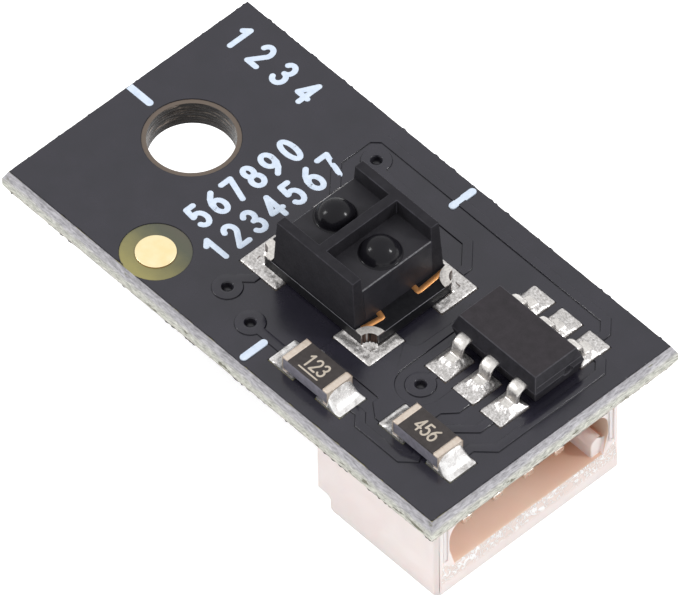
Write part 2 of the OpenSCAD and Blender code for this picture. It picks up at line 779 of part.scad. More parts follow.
module mouth_keys() {
  for (side = [-1, 1])
    along_x(connector_front - mouth_depth - over, connector_front - 0.12)
      translate([connector_y + side * (mouth_half - key_w), mouth_floor - over])
        union() {
          translate([side > 0 ? 0 : -key_w - over, 0]) square([key_w + over, key_h - key_w / 2 + over]);
          translate([side * key_w / 2, key_h - key_w / 2 + over]) circle(key_w / 2);
        }
}
module contact_outline(grow) {
  foot_z = bottom_seat - contact_t / 2;
  path = rounded([
    [connector_front - contact_recess, contact_z],
    [tail_x, contact_z],
    [tail_x, foot_z],
    [connector_rear - tail_l, foot_z]
  ], 0.1 + contact_t / 2);
  polygon(strip(path, contact_t + 2 * grow));
}
module contact(i) {
  y = contact_row(i);
  color([0.85, 0.8, 0.7]) along_y(y - contact_w / 2, y + contact_w / 2) contact_outline(0);
}
module tab_outline(side, grow) {
  foot_z = bottom_seat - tab_t / 2;
  path = rounded([
    [connector_w / 2 + tab_out, foot_z],
    [tab_y, foot_z],
    [tab_y, foot_z - tab_depth]
  ], 0.06 + tab_t / 2);
  polygon(strip([for (p = path) [connector_y + side * p[0], p[1]]], tab_t + 2 * grow));
}
module solder_tab(side) {
  color([0.82, 0.82, 0.8]) along_x(tab_back, tab_back + tab_l) tab_outline(side, 0);
}
module connector_housing() {
  color([0.89, 0.85, 0.84]) difference() {
    intersection() {
      upward(connector_bottom - over, bottom_seat + over) connector_plan();
      along_y(connector_y - connector_w, connector_y + connector_w) connector_side();
    }
    difference() {
      along_x(connector_front - mouth_depth, connector_front + over) mouth_section();
      mouth_keys();
    }
    for (i = [0 : contact_count - 1])
      along_y(contact_row(i) - contact_w / 2 - press_gap, contact_row(i) + contact_w / 2 + press_gap)
        contact_outline(press_gap);
    for (side = [-1, 1])
      along_x(tab_back - press_gap, connector_front + over) tab_outline(side, press_gap);
  }
}

// Solder: a film on every pad and a fillet at each joint
module sensor_solder() {
  color([0.85, 0.85, 0.84]) {
    upward(copper_t, top_seat) sensor_pads(-0.01);
    for (i = [0 : 3])
      at_corner(i) translate([0, 0, top_seat]) rotate_extrude(angle = 90)
        translate([notch_r, 0]) mirror([1, 0]) polygon(fillet_outline(notch_r - 0.02, substrate_t * 0.6));
  }
}
module ic_solder() {
  toe = lead_span / 2;
  heel = lead_span / 2 - lead_foot - lead_t;
  color([0.85, 0.85, 0.84]) difference() {
    union() {
      upward(copper_t, top_seat) ic_pads(-0.01);
      for (side = [-1, 1], column = [-1 : 1]) {
        x = ic_x + column * lead_pitch;
        along_x(x - ic_pad_w * 0.42, x + ic_pad_w * 0.42) {
          translate([ic_y + side * toe, top_seat - 0.01]) mirror([side > 0 ? 0 : 1, 0])
            polygon(fillet_outline(ic_pad_span / 2 - toe - 0.03, lead_t * 0.9));
          translate([ic_y + side * heel, top_seat - 0.01]) mirror([side > 0 ? 1 : 0, 0])
            polygon(fillet_outline(0.12, lead_t * 0.9));
          translate([ic_y + (side > 0 ? heel : -toe), top_seat - 0.01])
            square([toe - heel, lead_t * 0.6]);
        }
      }
    }
    for (i = [0 : 5])
      ic_lead(i);
  }
}
module resistor_solder(i) {
  color([0.85, 0.85, 0.84]) {
    upward(copper_t, top_seat) resistor_pads(i, -0.01);
    for (side = [-1, 1])
      along_y(resistor_at[i][1] - resistor_w * 0.47, resistor_at[i][1] + resistor_w * 0.47)
        translate([resistor_at[i][0] + side * resistor_l / 2, top_seat - 0.01])
          mirror([side > 0 ? 0 : 1, 0])
            polygon(fillet_outline(resistor_pad_span / 2 - resistor_l / 2 - 0.02, resistor_h * 0.75));
  }
}
module connector_solder() {
  color([0.85, 0.85, 0.84]) {
    upward(bottom_seat, bottom_face - copper_t) bottom_pads(-0.01);
    for (i = [0 : contact_count - 1])
      along_y(contact_row(i) - contact_pad_w * 0.42, contact_row(i) + contact_pad_w * 0.42)
        translate([connector_rear - tail_l, bottom_seat + 0.01]) mirror([1, 0]) mirror([0, 1])
          polygon(fillet_outline(0.13, contact_t * 0.8));
  }
}

circuit_board();
top_copper();
bottom_copper();
via_barrels();
top_solder_mask();
bottom_solder_mask();
fiducial();
silkscreen_ticks();
sensor_substrate();
sensor_terminal(0);  // sensor_terminal_1
sensor_terminal(1);  // sensor_terminal_2
sensor_terminal(2);  // sensor_terminal_3
sensor_terminal(3);  // sensor_terminal_4
sensor_traces();
sensor_housing();
lens(-1, emitter_w);  // emitter_lens
lens(1, detector_w);  // detector_lens
die(-1, emitter_w);  // emitter_die
die(1, detector_w);  // detector_die
ic_body();
ic_lead(0);  // ic_lead_1
ic_lead(1);  // ic_lead_2
ic_lead(2);  // ic_lead_3
ic_lead(3);  // ic_lead_4
ic_lead(4);  // ic_lead_5
ic_lead(5);  // ic_lead_6
resistor_body(0);  // resistor_1_body
resistor_coat(0);  // resistor_1_coat
resistor_cap(0, -1);  // resistor_1_cap_left
resistor_cap(0, 1);  // resistor_1_cap_right
resistor_body(1);  // resistor_2_body
resistor_coat(1);  // resistor_2_coat
resistor_cap(1, -1);  // resistor_2_cap_left
resistor_cap(1, 1);  // resistor_2_cap_right
connector_housing();
contact(0);  // contact_1
contact(1);  // contact_2
contact(2);  // contact_3
contact(3);  // contact_4
solder_tab(-1);  // solder_tab_1
solder_tab(1);  // solder_tab_2
sensor_solder();
ic_solder();
resistor_solder(0);  // resistor_1_solder
resistor_solder(1);  // resistor_2_solder
connector_solder();
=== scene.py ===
import math
import bpy
import bmesh
from mathutils import Matrix, Vector, noise
from mathutils.bvhtree import BVHTree


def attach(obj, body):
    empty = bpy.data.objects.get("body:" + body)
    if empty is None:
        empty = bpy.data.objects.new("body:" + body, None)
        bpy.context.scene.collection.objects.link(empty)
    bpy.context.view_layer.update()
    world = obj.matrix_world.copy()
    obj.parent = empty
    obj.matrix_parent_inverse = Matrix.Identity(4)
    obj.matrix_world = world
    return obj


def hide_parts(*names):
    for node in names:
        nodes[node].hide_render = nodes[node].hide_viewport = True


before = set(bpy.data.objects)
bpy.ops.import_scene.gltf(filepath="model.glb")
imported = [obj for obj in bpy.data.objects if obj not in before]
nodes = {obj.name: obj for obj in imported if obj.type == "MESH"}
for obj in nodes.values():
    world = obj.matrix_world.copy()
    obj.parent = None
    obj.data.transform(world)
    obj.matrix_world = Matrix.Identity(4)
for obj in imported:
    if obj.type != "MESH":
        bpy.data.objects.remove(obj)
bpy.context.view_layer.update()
mm = 0.001
print("frame loaded:", len(nodes), "nodes")

# levels and places shared with the CAD, in mm
maskTop, copperTop, laminateBottom = 0.02, 0.035, -0.74
boardLow, boardHigh = (-2.35, -4.0), (12.65, 4.0)
maskLow, maskHigh = (-2.23, -3.88), (12.53, 3.88)
holeRadius, viaRadius = 1.09, 0.19
viaSpots = [(4.0, -2.53), (5.18, -2.88), (9.33, -1.24), (3.57, 2.71)]
fiducialSpot = (2.02, -3.02)
sensorX, chipSpot, leadPitch = 5.85, (10.28, 1.015), 0.95
resistorSpots = [(7.53, -2.9), (10.74, -2.34)]
specular = "Specular IOR Level"  # the shader's socket


def hexToLinear(code):
    channels = [int(code[i:i + 2], 16) / 255 for i in (1, 3, 5)]
    return tuple(c / 12.92 if c <= 0.04045 else ((c + 0.055) / 1.055) ** 2.4 for c in channels) + (1,)


def perMm(size):
    return 1 / (size * mm)  # a texture's scale for a feature of this many millimetres


def join(tree, source, socket):
    # a node stands for its first output in use
    if isinstance(source, bpy.types.Node):
        source = next(output for output in source.outputs if output.enabled)
    tree.links.new(source, socket)


def addNode(tree, kind, values=None, links=None, **settings):
    node = tree.nodes.new("ShaderNode" + kind)
    for name, value in settings.items():
        setattr(node, name, value)
    for socket, value in (values or {}).items():
        node.inputs[socket].default_value = value
    for socket, source in (links or {}).items():
        join(tree, source, node.inputs[socket])
    return node


def colourStops(node, *stops):
    ramp = node.color_ramp
    while len(ramp.elements) < len(stops):
        ramp.elements.new(0.5)
    for element, (place, colour) in zip(ramp.elements, stops):
        element.position = place
        element.color = hexToLinear(colour)
    return node


def startMaterial(name, values):
    material = bpy.data.materials.new(name)
    material.use_nodes = True
    tree = material.node_tree
    tree.nodes.clear()
    addNode(tree, "OutputMaterial", links={"Surface": addNode(tree, "BsdfPrincipled", values)})
    place = {"Vector": addNode(tree, "TexCoord").outputs["Object"]}  # metres, in the same frame as the CAD
    return material, tree, place


def finishSurface(material, colour, grain, depth, roughness, relief=None):
    # sets the colour, and lets a grain drive the roughness and the last of the bump; the grain is given in mm,
    # and one too fine to show is drawn 0.03 mm wide, a little over a pixel
    tree = material.node_tree
    place = {"Vector": tree.nodes["Texture Coordinate"].outputs["Object"]}
    fine = addNode(tree, "TexNoise", {"Scale": perMm(grain), "Detail": 3, "Roughness": 0.6}, place)
    gloss = addNode(tree, "MapRange", {"From Min": 0.3, "From Max": 0.7, "To Min": roughness[0],
                                       "To Max": roughness[1]}, {"Value": fine})
    bump = addNode(tree, "Bump", {"Distance": depth * mm}, {"Height": fine})
    if relief:
        join(tree, relief, bump.inputs["Normal"])
    for socket, source in (("Base Color", colour), ("Roughness", gloss), ("Normal", bump)):
        join(tree, source, tree.nodes["Principled BSDF"].inputs[socket])
    return material


def patternMaterial(name, values, pattern, stops, grain, depth, roughness, relief=0, stretch=1):
    # a noise pattern picks the colour; stretch squeezes it into rings or draws it out into streaks along Z
    material, tree, place = startMaterial(name, values)
    if stretch != 1:
        place = {"Vector": addNode(tree, "Mapping", {"Scale": (1, 1, stretch)}, place)}
    patches = addNode(tree, "TexNoise", pattern, place)
    tint = colourStops(addNode(tree, "ValToRGB", links={"Fac": patches}), *stops)
    bump = addNode(tree, "Bump", {"Distance": relief * mm}, {"Height": patches}) if relief else None
    return finishSurface(material, tint, grain, depth, roughness, bump)


def evenMaterial(name, low, high, blotch, grain, depth, roughness, metallic=0, gleam=0.5, others=None):
    # two near tones in soft blotches over a fine grain
    values = {"Metallic": metallic, specular: gleam, "IOR": 1.5, **(others or {})}
    pattern = {"Scale": perMm(blotch), "Detail": 4, "Roughness": 0.6}
    return patternMaterial(name, values, pattern, [(0.32, low), (0.68, high)], grain, depth, roughness)


# name, two tones, width of their blotches, width and depth of the grain (all in mm), roughness, metallic,
# specular level, other values
evenFinishes = {
    # screened epoxy lacquer: glossy black that mirrors what stands on it, a little uneven
    "solder_mask": ("screenedSolderMask", "#1e1d26", "#24222c", 0.9, 0.09, 0.0006, (0.19, 0.26), 0, 0.5,
                    {"IOR": 1.55}),
    # lacquer at the foot of a ridge, drawn darker and duller as painted shade: a thin dark line along each
    # copper track
    "maskFootShade": ("pooledBlackLacquer", "#17161c", "#1f1e25", 0.2, 0.1, 0.0005, (0.3, 0.35), 0, 0.24),
    # lacquer that has run into a plated hole, drawn less glossy as painted shade for the deep shadow
    "viaHole": ("lacquerInHole", "#1d1c21", "#2a292f", 0.12, 0.05, 0.003, (0.25, 0.35), 0, 0.3),
    # etched copper under a thin lacquer: warm orange, satin
    "copper": ("etchedCopper", "#cd8e54", "#d79c65", 0.2, 0.04, 0.001, (0.3, 0.42), 0.75),
    # copper browned by heat and flux: a thin dark line round a pad
    "brownedCopper": ("brownedCopper", "#2a2420", "#3a3029", 0.1, 0.04, 0.001, (0.5, 0.6)),
    # electroless gold over nickel: pale yellow, satin and very even
    "gold": ("platedGold", "#ffe9b4", "#fff1c6", 0.3, 0.03, 0.0006, (0.34, 0.44), 1),
    # screen-printed epoxy ink: cool white, dull, a little rough
    "print": ("printedEpoxyInk", "#bfccde", "#ced9e6", 0.12, 0.05, 0.002, (0.5, 0.6), 0, 0.3),
    # black glass-epoxy laminate, sawn: dark satin faces
    "substrate": ("sawnBlackLaminate", "#121215", "#1a1a1d", 0.12, 0.03, 0.002, (0.45, 0.6), 0, 0.12),
    # the sawn edges' rounding drawn paler as a painted highlight: a thin paler line along each edge
    "sawnEdgeHighlight": ("sawnLaminateBurr", "#34343a", "#5c5b62", 0.06, 0.03, 0.002, (0.3, 0.45)),
    # electroplated tin on copper: pale grey metal with a fine frost
    "terminal": ("platedTinTerminal", "#c9c5c1", "#efebe6", 0.06, 0.03, 0.004, (0.3, 0.45), 0.7),
    # glass-filled black polymer, moulded in a spark-eroded tool: dull, nearly no sheen
    "shell": ("mouldedBlackPolymer", "#212024", "#28272b", 0.3, 0.05, 0.002, (0.55, 0.7), 0, 0.12),
    # its rounded edges drawn lighter as a painted highlight: a thin softer line
    "shellEdgeHighlight": ("mouldedBlackEdge", "#28272b", "#3d3c42", 0.3, 0.05, 0.002, (0.5, 0.65), 0, 0.12),
    # dark optical epoxy as it leaves a matt tool: satin block faces
    "epoxy": ("mattDarkEpoxy", "#29282c", "#2f2e32", 0.5, 0.05, 0.0008, (0.36, 0.46), 0, 0.16),
    # sawn end of the block: a little duller than its moulded faces
    "epoxyCut": ("sawnDarkEpoxy", "#252529", "#2e2d32", 0.4, 0.05, 0.0008, (0.4, 0.5), 0, 0.16),
    # the block's sawn edge: a bright hairline, a painted highlight
    "epoxyEdge": ("sawnEpoxyEdge", "#232226", "#5d5c62", 0.1, 0.03, 0.001, (0.4, 0.5)),
    # the same epoxy from a polished cavity: glossy domes, nearly black
    "dome": ("polishedDarkEpoxy", "#111014", "#141318", 0.5, 0.1, 0.0002, (0.5, 0.55), 0, 0.06,
             {"Coat Weight": 0.3, "Coat Roughness": 0.17}),
    # silicon, sawn and polished: a cool grey mirror
    "silicon": ("polishedSilicon", "#6a6a75", "#7c7c88", 0.1, 0.05, 0.0002, (0.1, 0.2), 1),
    # silica-filled moulding compound: dark grey-brown, fine sandy matt
    "chip_body": ("mouldedSilicaEpoxy", "#2a272a", "#322e32", 0.25, 0.03, 0.0022, (0.5, 0.65), 0, 0.2),
    # the same compound on the drafted sides, polished by the mould's steel and drawn darker as painted shade:
    # nearly black
    "chipSide": ("mouldedSilicaEpoxySide", "#232226", "#2d2c31", 0.2, 0.03, 0.0015, (0.4, 0.55), 0, 0.12),
    # the body's rounded edges and parting line drawn lighter as a painted highlight: a thin lighter line
    "chipEdge": ("mouldedSilicaEpoxyEdge", "#353439", "#454449", 0.15, 0.03, 0.0015, (0.5, 0.6), 0, 0.2),
    # bright tin dip on a formed lead: smooth bends, soft mirror
    "tinned_lead": ("dippedTinLead", "#cbc7c3", "#efece8", 0.1, 0.03, 0.0025, (0.24, 0.4), 1),
    # end of a lead, cut after plating: bare copper alloy tinted by flux
    "leadEnd": ("cutLeadEnd", "#c3a595", "#dcc9bf", 0.06, 0.03, 0.002, (0.3, 0.45), 0.8),
    # fired alumina: hard pale violet-grey with fine pits
    "ceramic": ("firedAlumina", "#6c6a74", "#83818b", 0.12, 0.03, 0.003, (0.35, 0.5)),
    # fired glass coat: dark brown, low gloss
    "coat": ("firedGlassCoat", "#322d2c", "#3c3736", 0.12, 0.03, 0.0015, (0.35, 0.5), 0, 0.3),
    # paint for the figures on a resistor: greyish cream, dull
    "figure": ("creamMarkingPaint", "#a89e90", "#b9afa2", 0.1, 0.03, 0.001, (0.5, 0.6), 0, 0.3),
    # plated end cap: creamy satin tin
    "cap": ("satinTinCap", "#c6b7a9", "#d4c9bd", 0.1, 0.03, 0.0015, (0.4, 0.5), 0.45),
    # stamped brass strip under bright tin: clean mirror-like pins
    "contact_metal": ("stampedTinnedBrass", "#dcd8cf", "#eeebe4", 0.1, 0.03, 0.001, (0.2, 0.35), 1),
}
materials = {key: evenMaterial(*row) for key, row in evenFinishes.items()}


def solderMaterial(name, lump, *stops):
    # reflowed solder: bright, frozen into soft lumps with grey flux-stained patches between them
    pattern = {"Scale": perMm(lump), "Detail": 3, "Roughness": 0.6, "Distortion": 0.5}
    return patternMaterial(name, {"Metallic": 0.85}, pattern, stops, 0.035, 0.001, (0.22, 0.4), 0.0022)


def makeEdgeMaterial():
    # glass cloth and epoxy, scored then snapped: greyish bevels, paler torn web with dark pits, streaks
    material, tree, place = startMaterial("scoredGlassEpoxy", {"IOR": 1.5, specular: 0.25})
    height = addNode(tree, "SeparateXYZ", links=place).outputs["Z"]
    wander = addNode(tree, "TexNoise", {"Scale": perMm(0.5), "Detail": 2}, place)
    shift = addNode(tree, "MapRange", {"To Min": -0.06 * mm, "To Max": 0.06 * mm}, {"Value": wander})
    level = addNode(tree, "Math", links={0: height, 1: shift}, operation="ADD")
    depth = addNode(tree, "MapRange", {"From Min": laminateBottom * mm, "From Max": 0.0}, {"Value": level})
    bands = addNode(tree, "ValToRGB", links={"Fac": depth})
    colourStops(bands, (0.0, "#d6d1c2"), (0.26, "#e6e3da"), (0.42, "#dcddd2"), (0.62, "#d9d8d2"),
                (0.75, "#c2c0c5"), (1.0, "#b0aeb3"))
    along = addNode(tree, "Mapping", {"Scale": (1, 1, 5)}, place)  # streaks lie along the edge
    streaks = addNode(tree, "TexNoise", {"Scale": perMm(0.22), "Detail": 5, "Roughness": 0.7},
                      {"Vector": along})
    tone = addNode(tree, "MapRange", {"From Min": 0.36, "From Max": 0.62, "To Min": 0.5, "To Max": 1.06},
                   {"Value": streaks})
    toned = addNode(tree, "Mix", {0: 1.0}, {6: bands, 7: tone}, data_type="RGBA", blend_type="MULTIPLY")
    wide = addNode(tree, "Mapping", {"Scale": (1, 1, 3.2)}, place)
    cells = addNode(tree, "TexNoise", {"Scale": perMm(0.42)}, {"Vector": wide})
    fromWeb = addNode(tree, "Math", {1: 0.42}, {0: depth}, operation="SUBTRACT")
    nearWeb = addNode(tree, "MapRange", {"From Max": 0.16, "To Min": 0.13, "To Max": 0.0}, {"Value": fromWeb})
    pits = addNode(tree, "Math", links={0: cells, 1: nearWeb}, operation="ADD")
    inPit = addNode(tree, "MapRange", {"From Min": 0.7, "From Max": 0.76}, {"Value": pits})
    colour = addNode(tree, "Mix", {7: hexToLinear("#7d7c6e")}, {0: inPit, 6: toned}, data_type="RGBA")
    relief = addNode(tree, "Bump", {"Distance": 0.02 * mm}, {"Height": streaks})
    return finishSurface(material, colour, 0.05, 0.004, (0.5, 0.7), relief)


def makeBareMaterial():
    # laminate where the lacquer is open: olive resin over cloth, yellower towards the board's edge
    material, tree, place = startMaterial("bareGlassEpoxy", {"IOR": 1.5})
    across = addNode(tree, "SeparateXYZ", links=place).outputs["Y"]
    cloth = addNode(tree, "TexNoise", {"Scale": perMm(0.3), "Detail": 3}, place)
    warp = addNode(tree, "MapRange", {"To Min": -0.1, "To Max": 0.1}, {"Value": cloth})
    reach = addNode(tree, "MapRange", {"From Min": -1.6 * mm, "From Max": -3.9 * mm}, {"Value": across})
    mixed = addNode(tree, "Math", links={0: warp, 1: reach}, operation="ADD")
    tint = colourStops(addNode(tree, "ValToRGB", links={"Fac": mixed}), (0.0, "#5c5046"), (0.2, "#514d42"),
                       (0.4, "#4d4f40"), (0.95, "#8a8350"))
    return finishSurface(material, tint, 0.06, 0.0006, (0.3, 0.38))


def makeNylonMaterial(name, low, high, depth, deep=None):
    # natural nylon, injection moulded: milky pinkish white, light soaks in and comes back warm
    material, tree, place = startMaterial(name, {
        "IOR": 1.53, specular: 0.35, "Subsurface Weight": 0.3, "Subsurface Radius": (1.0, 0.5, 0.35),
        "Subsurface Scale": depth * mm})
    flow = addNode(tree, "TexNoise", {"Scale": perMm(1.4), "Detail": 3, "Distortion": 1.0}, place)
    colour = colourStops(addNode(tree, "ValToRGB", links={"Fac": flow}), (0.3, low), (0.7, high))
    if deep:
        # painted shade: darker and browner towards +Y and away from the mouth's front
        split = addNode(tree, "SeparateXYZ", links=place)
        share = addNode(tree, "MapRange", {"From Min": -0.6 * mm, "From Max": 2.1 * mm},
                        {"Value": split.outputs["Y"]}, interpolation_type="SMOOTHSTEP")
        inward = addNode(tree, "MapRange", {"From Min": 12 * mm, "From Max": 11 * mm, "To Min": 0.25},
                         {"Value": split.outputs["X"]})
        share = addNode(tree, "Math", links={0: share, 1: inward}, operation="MULTIPLY")
        colour = addNode(tree, "Mix", {7: hexToLinear(deep)}, {0: share, 6: colour}, data_type="RGBA")
    return finishSurface(material, colour, 0.05, 0.0015, (0.42, 0.55))


def makeFrostedMaterial():
    # the lip's face, scuffed by the mould's gate: curled white frost marks, drawn 0.08 mm wide so they show
    material, tree, place = startMaterial("frostedNylonLip", {"IOR": 1.53, specular: 0.5})
    curls = addNode(tree, "TexNoise", {"Scale": perMm(0.2), "Detail": 0.5, "Distortion": 1.4}, place)
    offset = addNode(tree, "Math", {1: 0.5}, {0: curls}, operation="SUBTRACT")
    near = addNode(tree, "Math", links={0: offset}, operation="ABSOLUTE")
    mark = addNode(tree, "MapRange", {"From Min": 0.03, "From Max": 0.07, "To Min": 1.0, "To Max": 0.0},
                   {"Value": near})
    height = addNode(tree, "SeparateXYZ", links=place).outputs["Z"]
    fade = addNode(tree, "MapRange", {"From Min": -3.45 * mm, "From Max": -3.3 * mm}, {"Value": height})
    mark = addNode(tree, "Math", links={0: mark, 1: fade}, operation="MULTIPLY")
    ground = addNode(tree, "Mix", {6: hexToLinear("#eee1dd"), 7: hexToLinear("#e6d6cf")}, {0: fade},
                     data_type="RGBA")
    colour = addNode(tree, "Mix", {7: hexToLinear("#fffefe")}, {0: mark, 6: ground}, data_type="RGBA")
    relief = addNode(tree, "Bump", {"Distance": 0.02 * mm}, {"Height": mark})
    return finishSurface(material, colour, 0.04, 0.003, (0.3, 0.5), relief)


materials["solder"] = solderMaterial("reflowedSolder", 0.06, (0.3, "#9a9795"), (0.42, "#b9b6b4"),
                                     (0.55, "#cfccca"), (0.7, "#f0eeee"))
# the resistors' joints froze smoother, with broad pale patches
materials["smoothSolder"] = solderMaterial("smoothReflowedSolder", 0.2, (0.35, "#c3c0be"), (0.5, "#e4e2e1"),
                                           (0.6, "#f4f3f2"))
materials["laminate"] = makeEdgeMaterial()
materials["bare"] = makeBareMaterial()
# drilled laminate wall: dark brown, partly its own colour and partly painted shade in the hole, with pale
# rings as painted glints from the drill
materials["hole"] = patternMaterial(
    "shadedDrilledGlassEpoxy", {"IOR": 1.5, specular: 0.18}, {"Scale": perMm(0.9), "Detail": 4, "Roughness": 0.7},
    [(0.35, "#100a07"), (0.56, "#1e1611"), (0.67, "#94867a")], 0.04, 0.003, (0.2, 0.35), 0.02, 12)
materials["nylon"] = makeNylonMaterial("mouldedNylon", "#ecdfdc", "#f2e8e5", 0.5)
# a painted-shade copy of the nylon for the mouth's inner faces
materials["nylonShadedInside"] = makeNylonMaterial("paintedShadeNylonInside", "#edcfbe", "#f1d7c7", 0.9, "#bd8159")
materials["frost"] = makeFrostedMaterial()
# plated quarter hole, sawn through: upright streaks of bright tin, browned copper and shadow
materials["castellation"] = patternMaterial(
    "sawnPlatedNotch", {"Metallic": 0.8}, {"Scale": perMm(0.09), "Roughness": 0.6},
    [(0.4, "#1d1817"), (0.49, "#5e463c"), (0.55, "#3a302d"), (0.62, "#e8e4e1")], 0.04, 0.001, (0.25, 0.4),
    stretch=0.05)
print("materials made:", len(materials))


def addObject(name, data):
    thing = bpy.data.objects.new(name, data)
    bpy.context.scene.collection.objects.link(thing)
    return thing


def makePiece(mesh, name, replaced, slot, finishes=None, angle=60):
    # a finished bmesh becomes a piece, shaded smooth up to the angle
    data = bpy.data.meshes.new(name)
    mesh.to_mesh(data)
    mesh.free()
    data.shade_smooth()
    data.set_sharp_from_angle(angle=math.radians(angle))
    for finish in finishes or [slot]:
        data.materials.append(materials[finish])
    piece = addObject(name, data)
    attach(piece, "root")
    if replaced:
        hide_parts(replaced)
    return piece


def evenNormals(piece):
    piece.modifiers.new("normals", "WEIGHTED_NORMAL").keep_sharp = True


def roundEdges(piece, width, steps, edgeFinish=-1):
    bevel = piece.modifiers.new("edge", "BEVEL")
    bevel.width = width * mm
    bevel.segments = steps
    bevel.limit_method = "ANGLE"
    bevel.angle_limit = math.radians(30)
    bevel.use_clamp_overlap = False
    bevel.material = edgeFinish
    evenNormals(piece)


def cleanCopy(node, dissolve=True):
    mesh = bmesh.new()
    mesh.from_mesh(nodes[node].data)
    bmesh.ops.remove_doubles(mesh, verts=mesh.verts, dist=1e-7)
    if dissolve:
        bmesh.ops.dissolve_limit(mesh, angle_limit=math.radians(0.6), verts=mesh.verts, edges=mesh.edges)
    return mesh


def softCopy(node, slot, width=0.02, steps=2, finishes=None, finishOf=None, edgeFinish=-1):
    # the CAD solid with its edges rounded, as a mould, saw or plating leaves them
    first, *rest = node.replace("ic_", "chip_").split("_")
    name = first + "".join(word.capitalize() for word in rest)
    mesh = cleanCopy(node)
    if finishOf:
        mesh.normal_update()
        for face in mesh.faces:
            face.material_index = finishOf(face.normal)
    piece = makePiece(mesh, name, node, slot, finishes, 60 if width else 35)
    if width:
        roundEdges(piece, width, steps, edgeFinish)
    return piece


def meshPiece(name, shape, replaced, slot, angle=60, finishes=None):
    # shape is a pair of lists: points in mm, and faces
    rough = bpy.data.meshes.new(name)
    rough.from_pydata([tuple(c * mm for c in v) for v in shape[0]], [], shape[1])
    rough.validate()
    mesh = bmesh.new()
    mesh.from_mesh(rough)
    bpy.data.meshes.remove(rough)
    bmesh.ops.recalc_face_normals(mesh, faces=mesh.faces)
    return makePiece(mesh, name, replaced, slot, finishes, angle)


def addRings(shape, rings):
    # rings of equally many points, joined into one closed tube
    verts, faces = shape
    base, count = len(verts), len(rings[0])
    for ring in rings:
        verts.extend(ring)
    for start in range(base, len(verts) - count, count):
        for k in range(count):
            a, b = start + k, start + (k + 1) % count
            faces.append((a, b, b + count, a + count))
    faces.append(tuple(range(base, base + count)))
    faces.append(tuple(range(len(verts) - count, len(verts))))


def turnsOf(count):
    return [2 * math.pi * k / count for k in range(count)]


laminate = {"step": 0.06, "webRough": 0.036, "bevelRough": 0.014, "seed": 3.7, "scoreDepth": 0.12,
            "scoreHeight": 0.251, "webMiddle": -0.37, "webReach": 0.16, "drillRough": 0.008, "drillSteps": 24}


def scoreInset(z):
    # the V-shaped score slants in towards both faces of the board
    fromFace = min(-z, z - laminateBottom)
    return laminate["scoreDepth"] * max(0.0, 1 - fromFace / laminate["scoreHeight"])


def edgePush(x, y, z):
    # how far the scored and snapped edge stands in from its true outline
    if not 0 > z > laminateBottom:
        return 0.0
    middle = max(0.0, 1 - abs((z - laminate["webMiddle"]) / laminate["webReach"]) ** 4)
    wild = noise.fractal(Vector((x * 5, y * 5, z * 9 + laminate["seed"])), 0.8, 2.1, 4)
    return (laminate["webRough"] * middle + laminate["bevelRough"]) * min(1.0, max(0.0, 0.5 + 0.8 * wild))


def perimeterColumns():
    corners = [boardLow, (boardHigh[0], boardLow[1]), boardHigh, (boardLow[0], boardHigh[1])]
    for k, along in enumerate([(1, 0), (0, 1), (-1, 0), (0, -1)]):
        length = boardHigh[k % 2] - boardLow[k % 2]
        count = int(length / laminate["step"])
        yield from ((corners[k], along, (-along[1], along[0]), length, i / count) for i in range(count))


def addHole(mesh, spot, radius, count, levels, rough):
    loops = []
    for z in levels:
        loop = []
        for a in turnsOf(count):
            r = radius
            if 0 > z > laminateBottom:
                r += rough * noise.noise(Vector((math.cos(a) * 2, math.sin(a) * 2, z * 22)))
            point = (spot[0] + r * math.cos(a)) * mm, (spot[1] + r * math.sin(a)) * mm, z * mm
            loop.append(mesh.verts.new(point))
        loops.append(loop)
    for upper, lower in zip(loops, loops[1:]):
        for k in range(count):
            n = (k + 1) % count
            mesh.faces.new((upper[k], lower[k], lower[n], upper[n]))
    return loops[0], loops[-1]


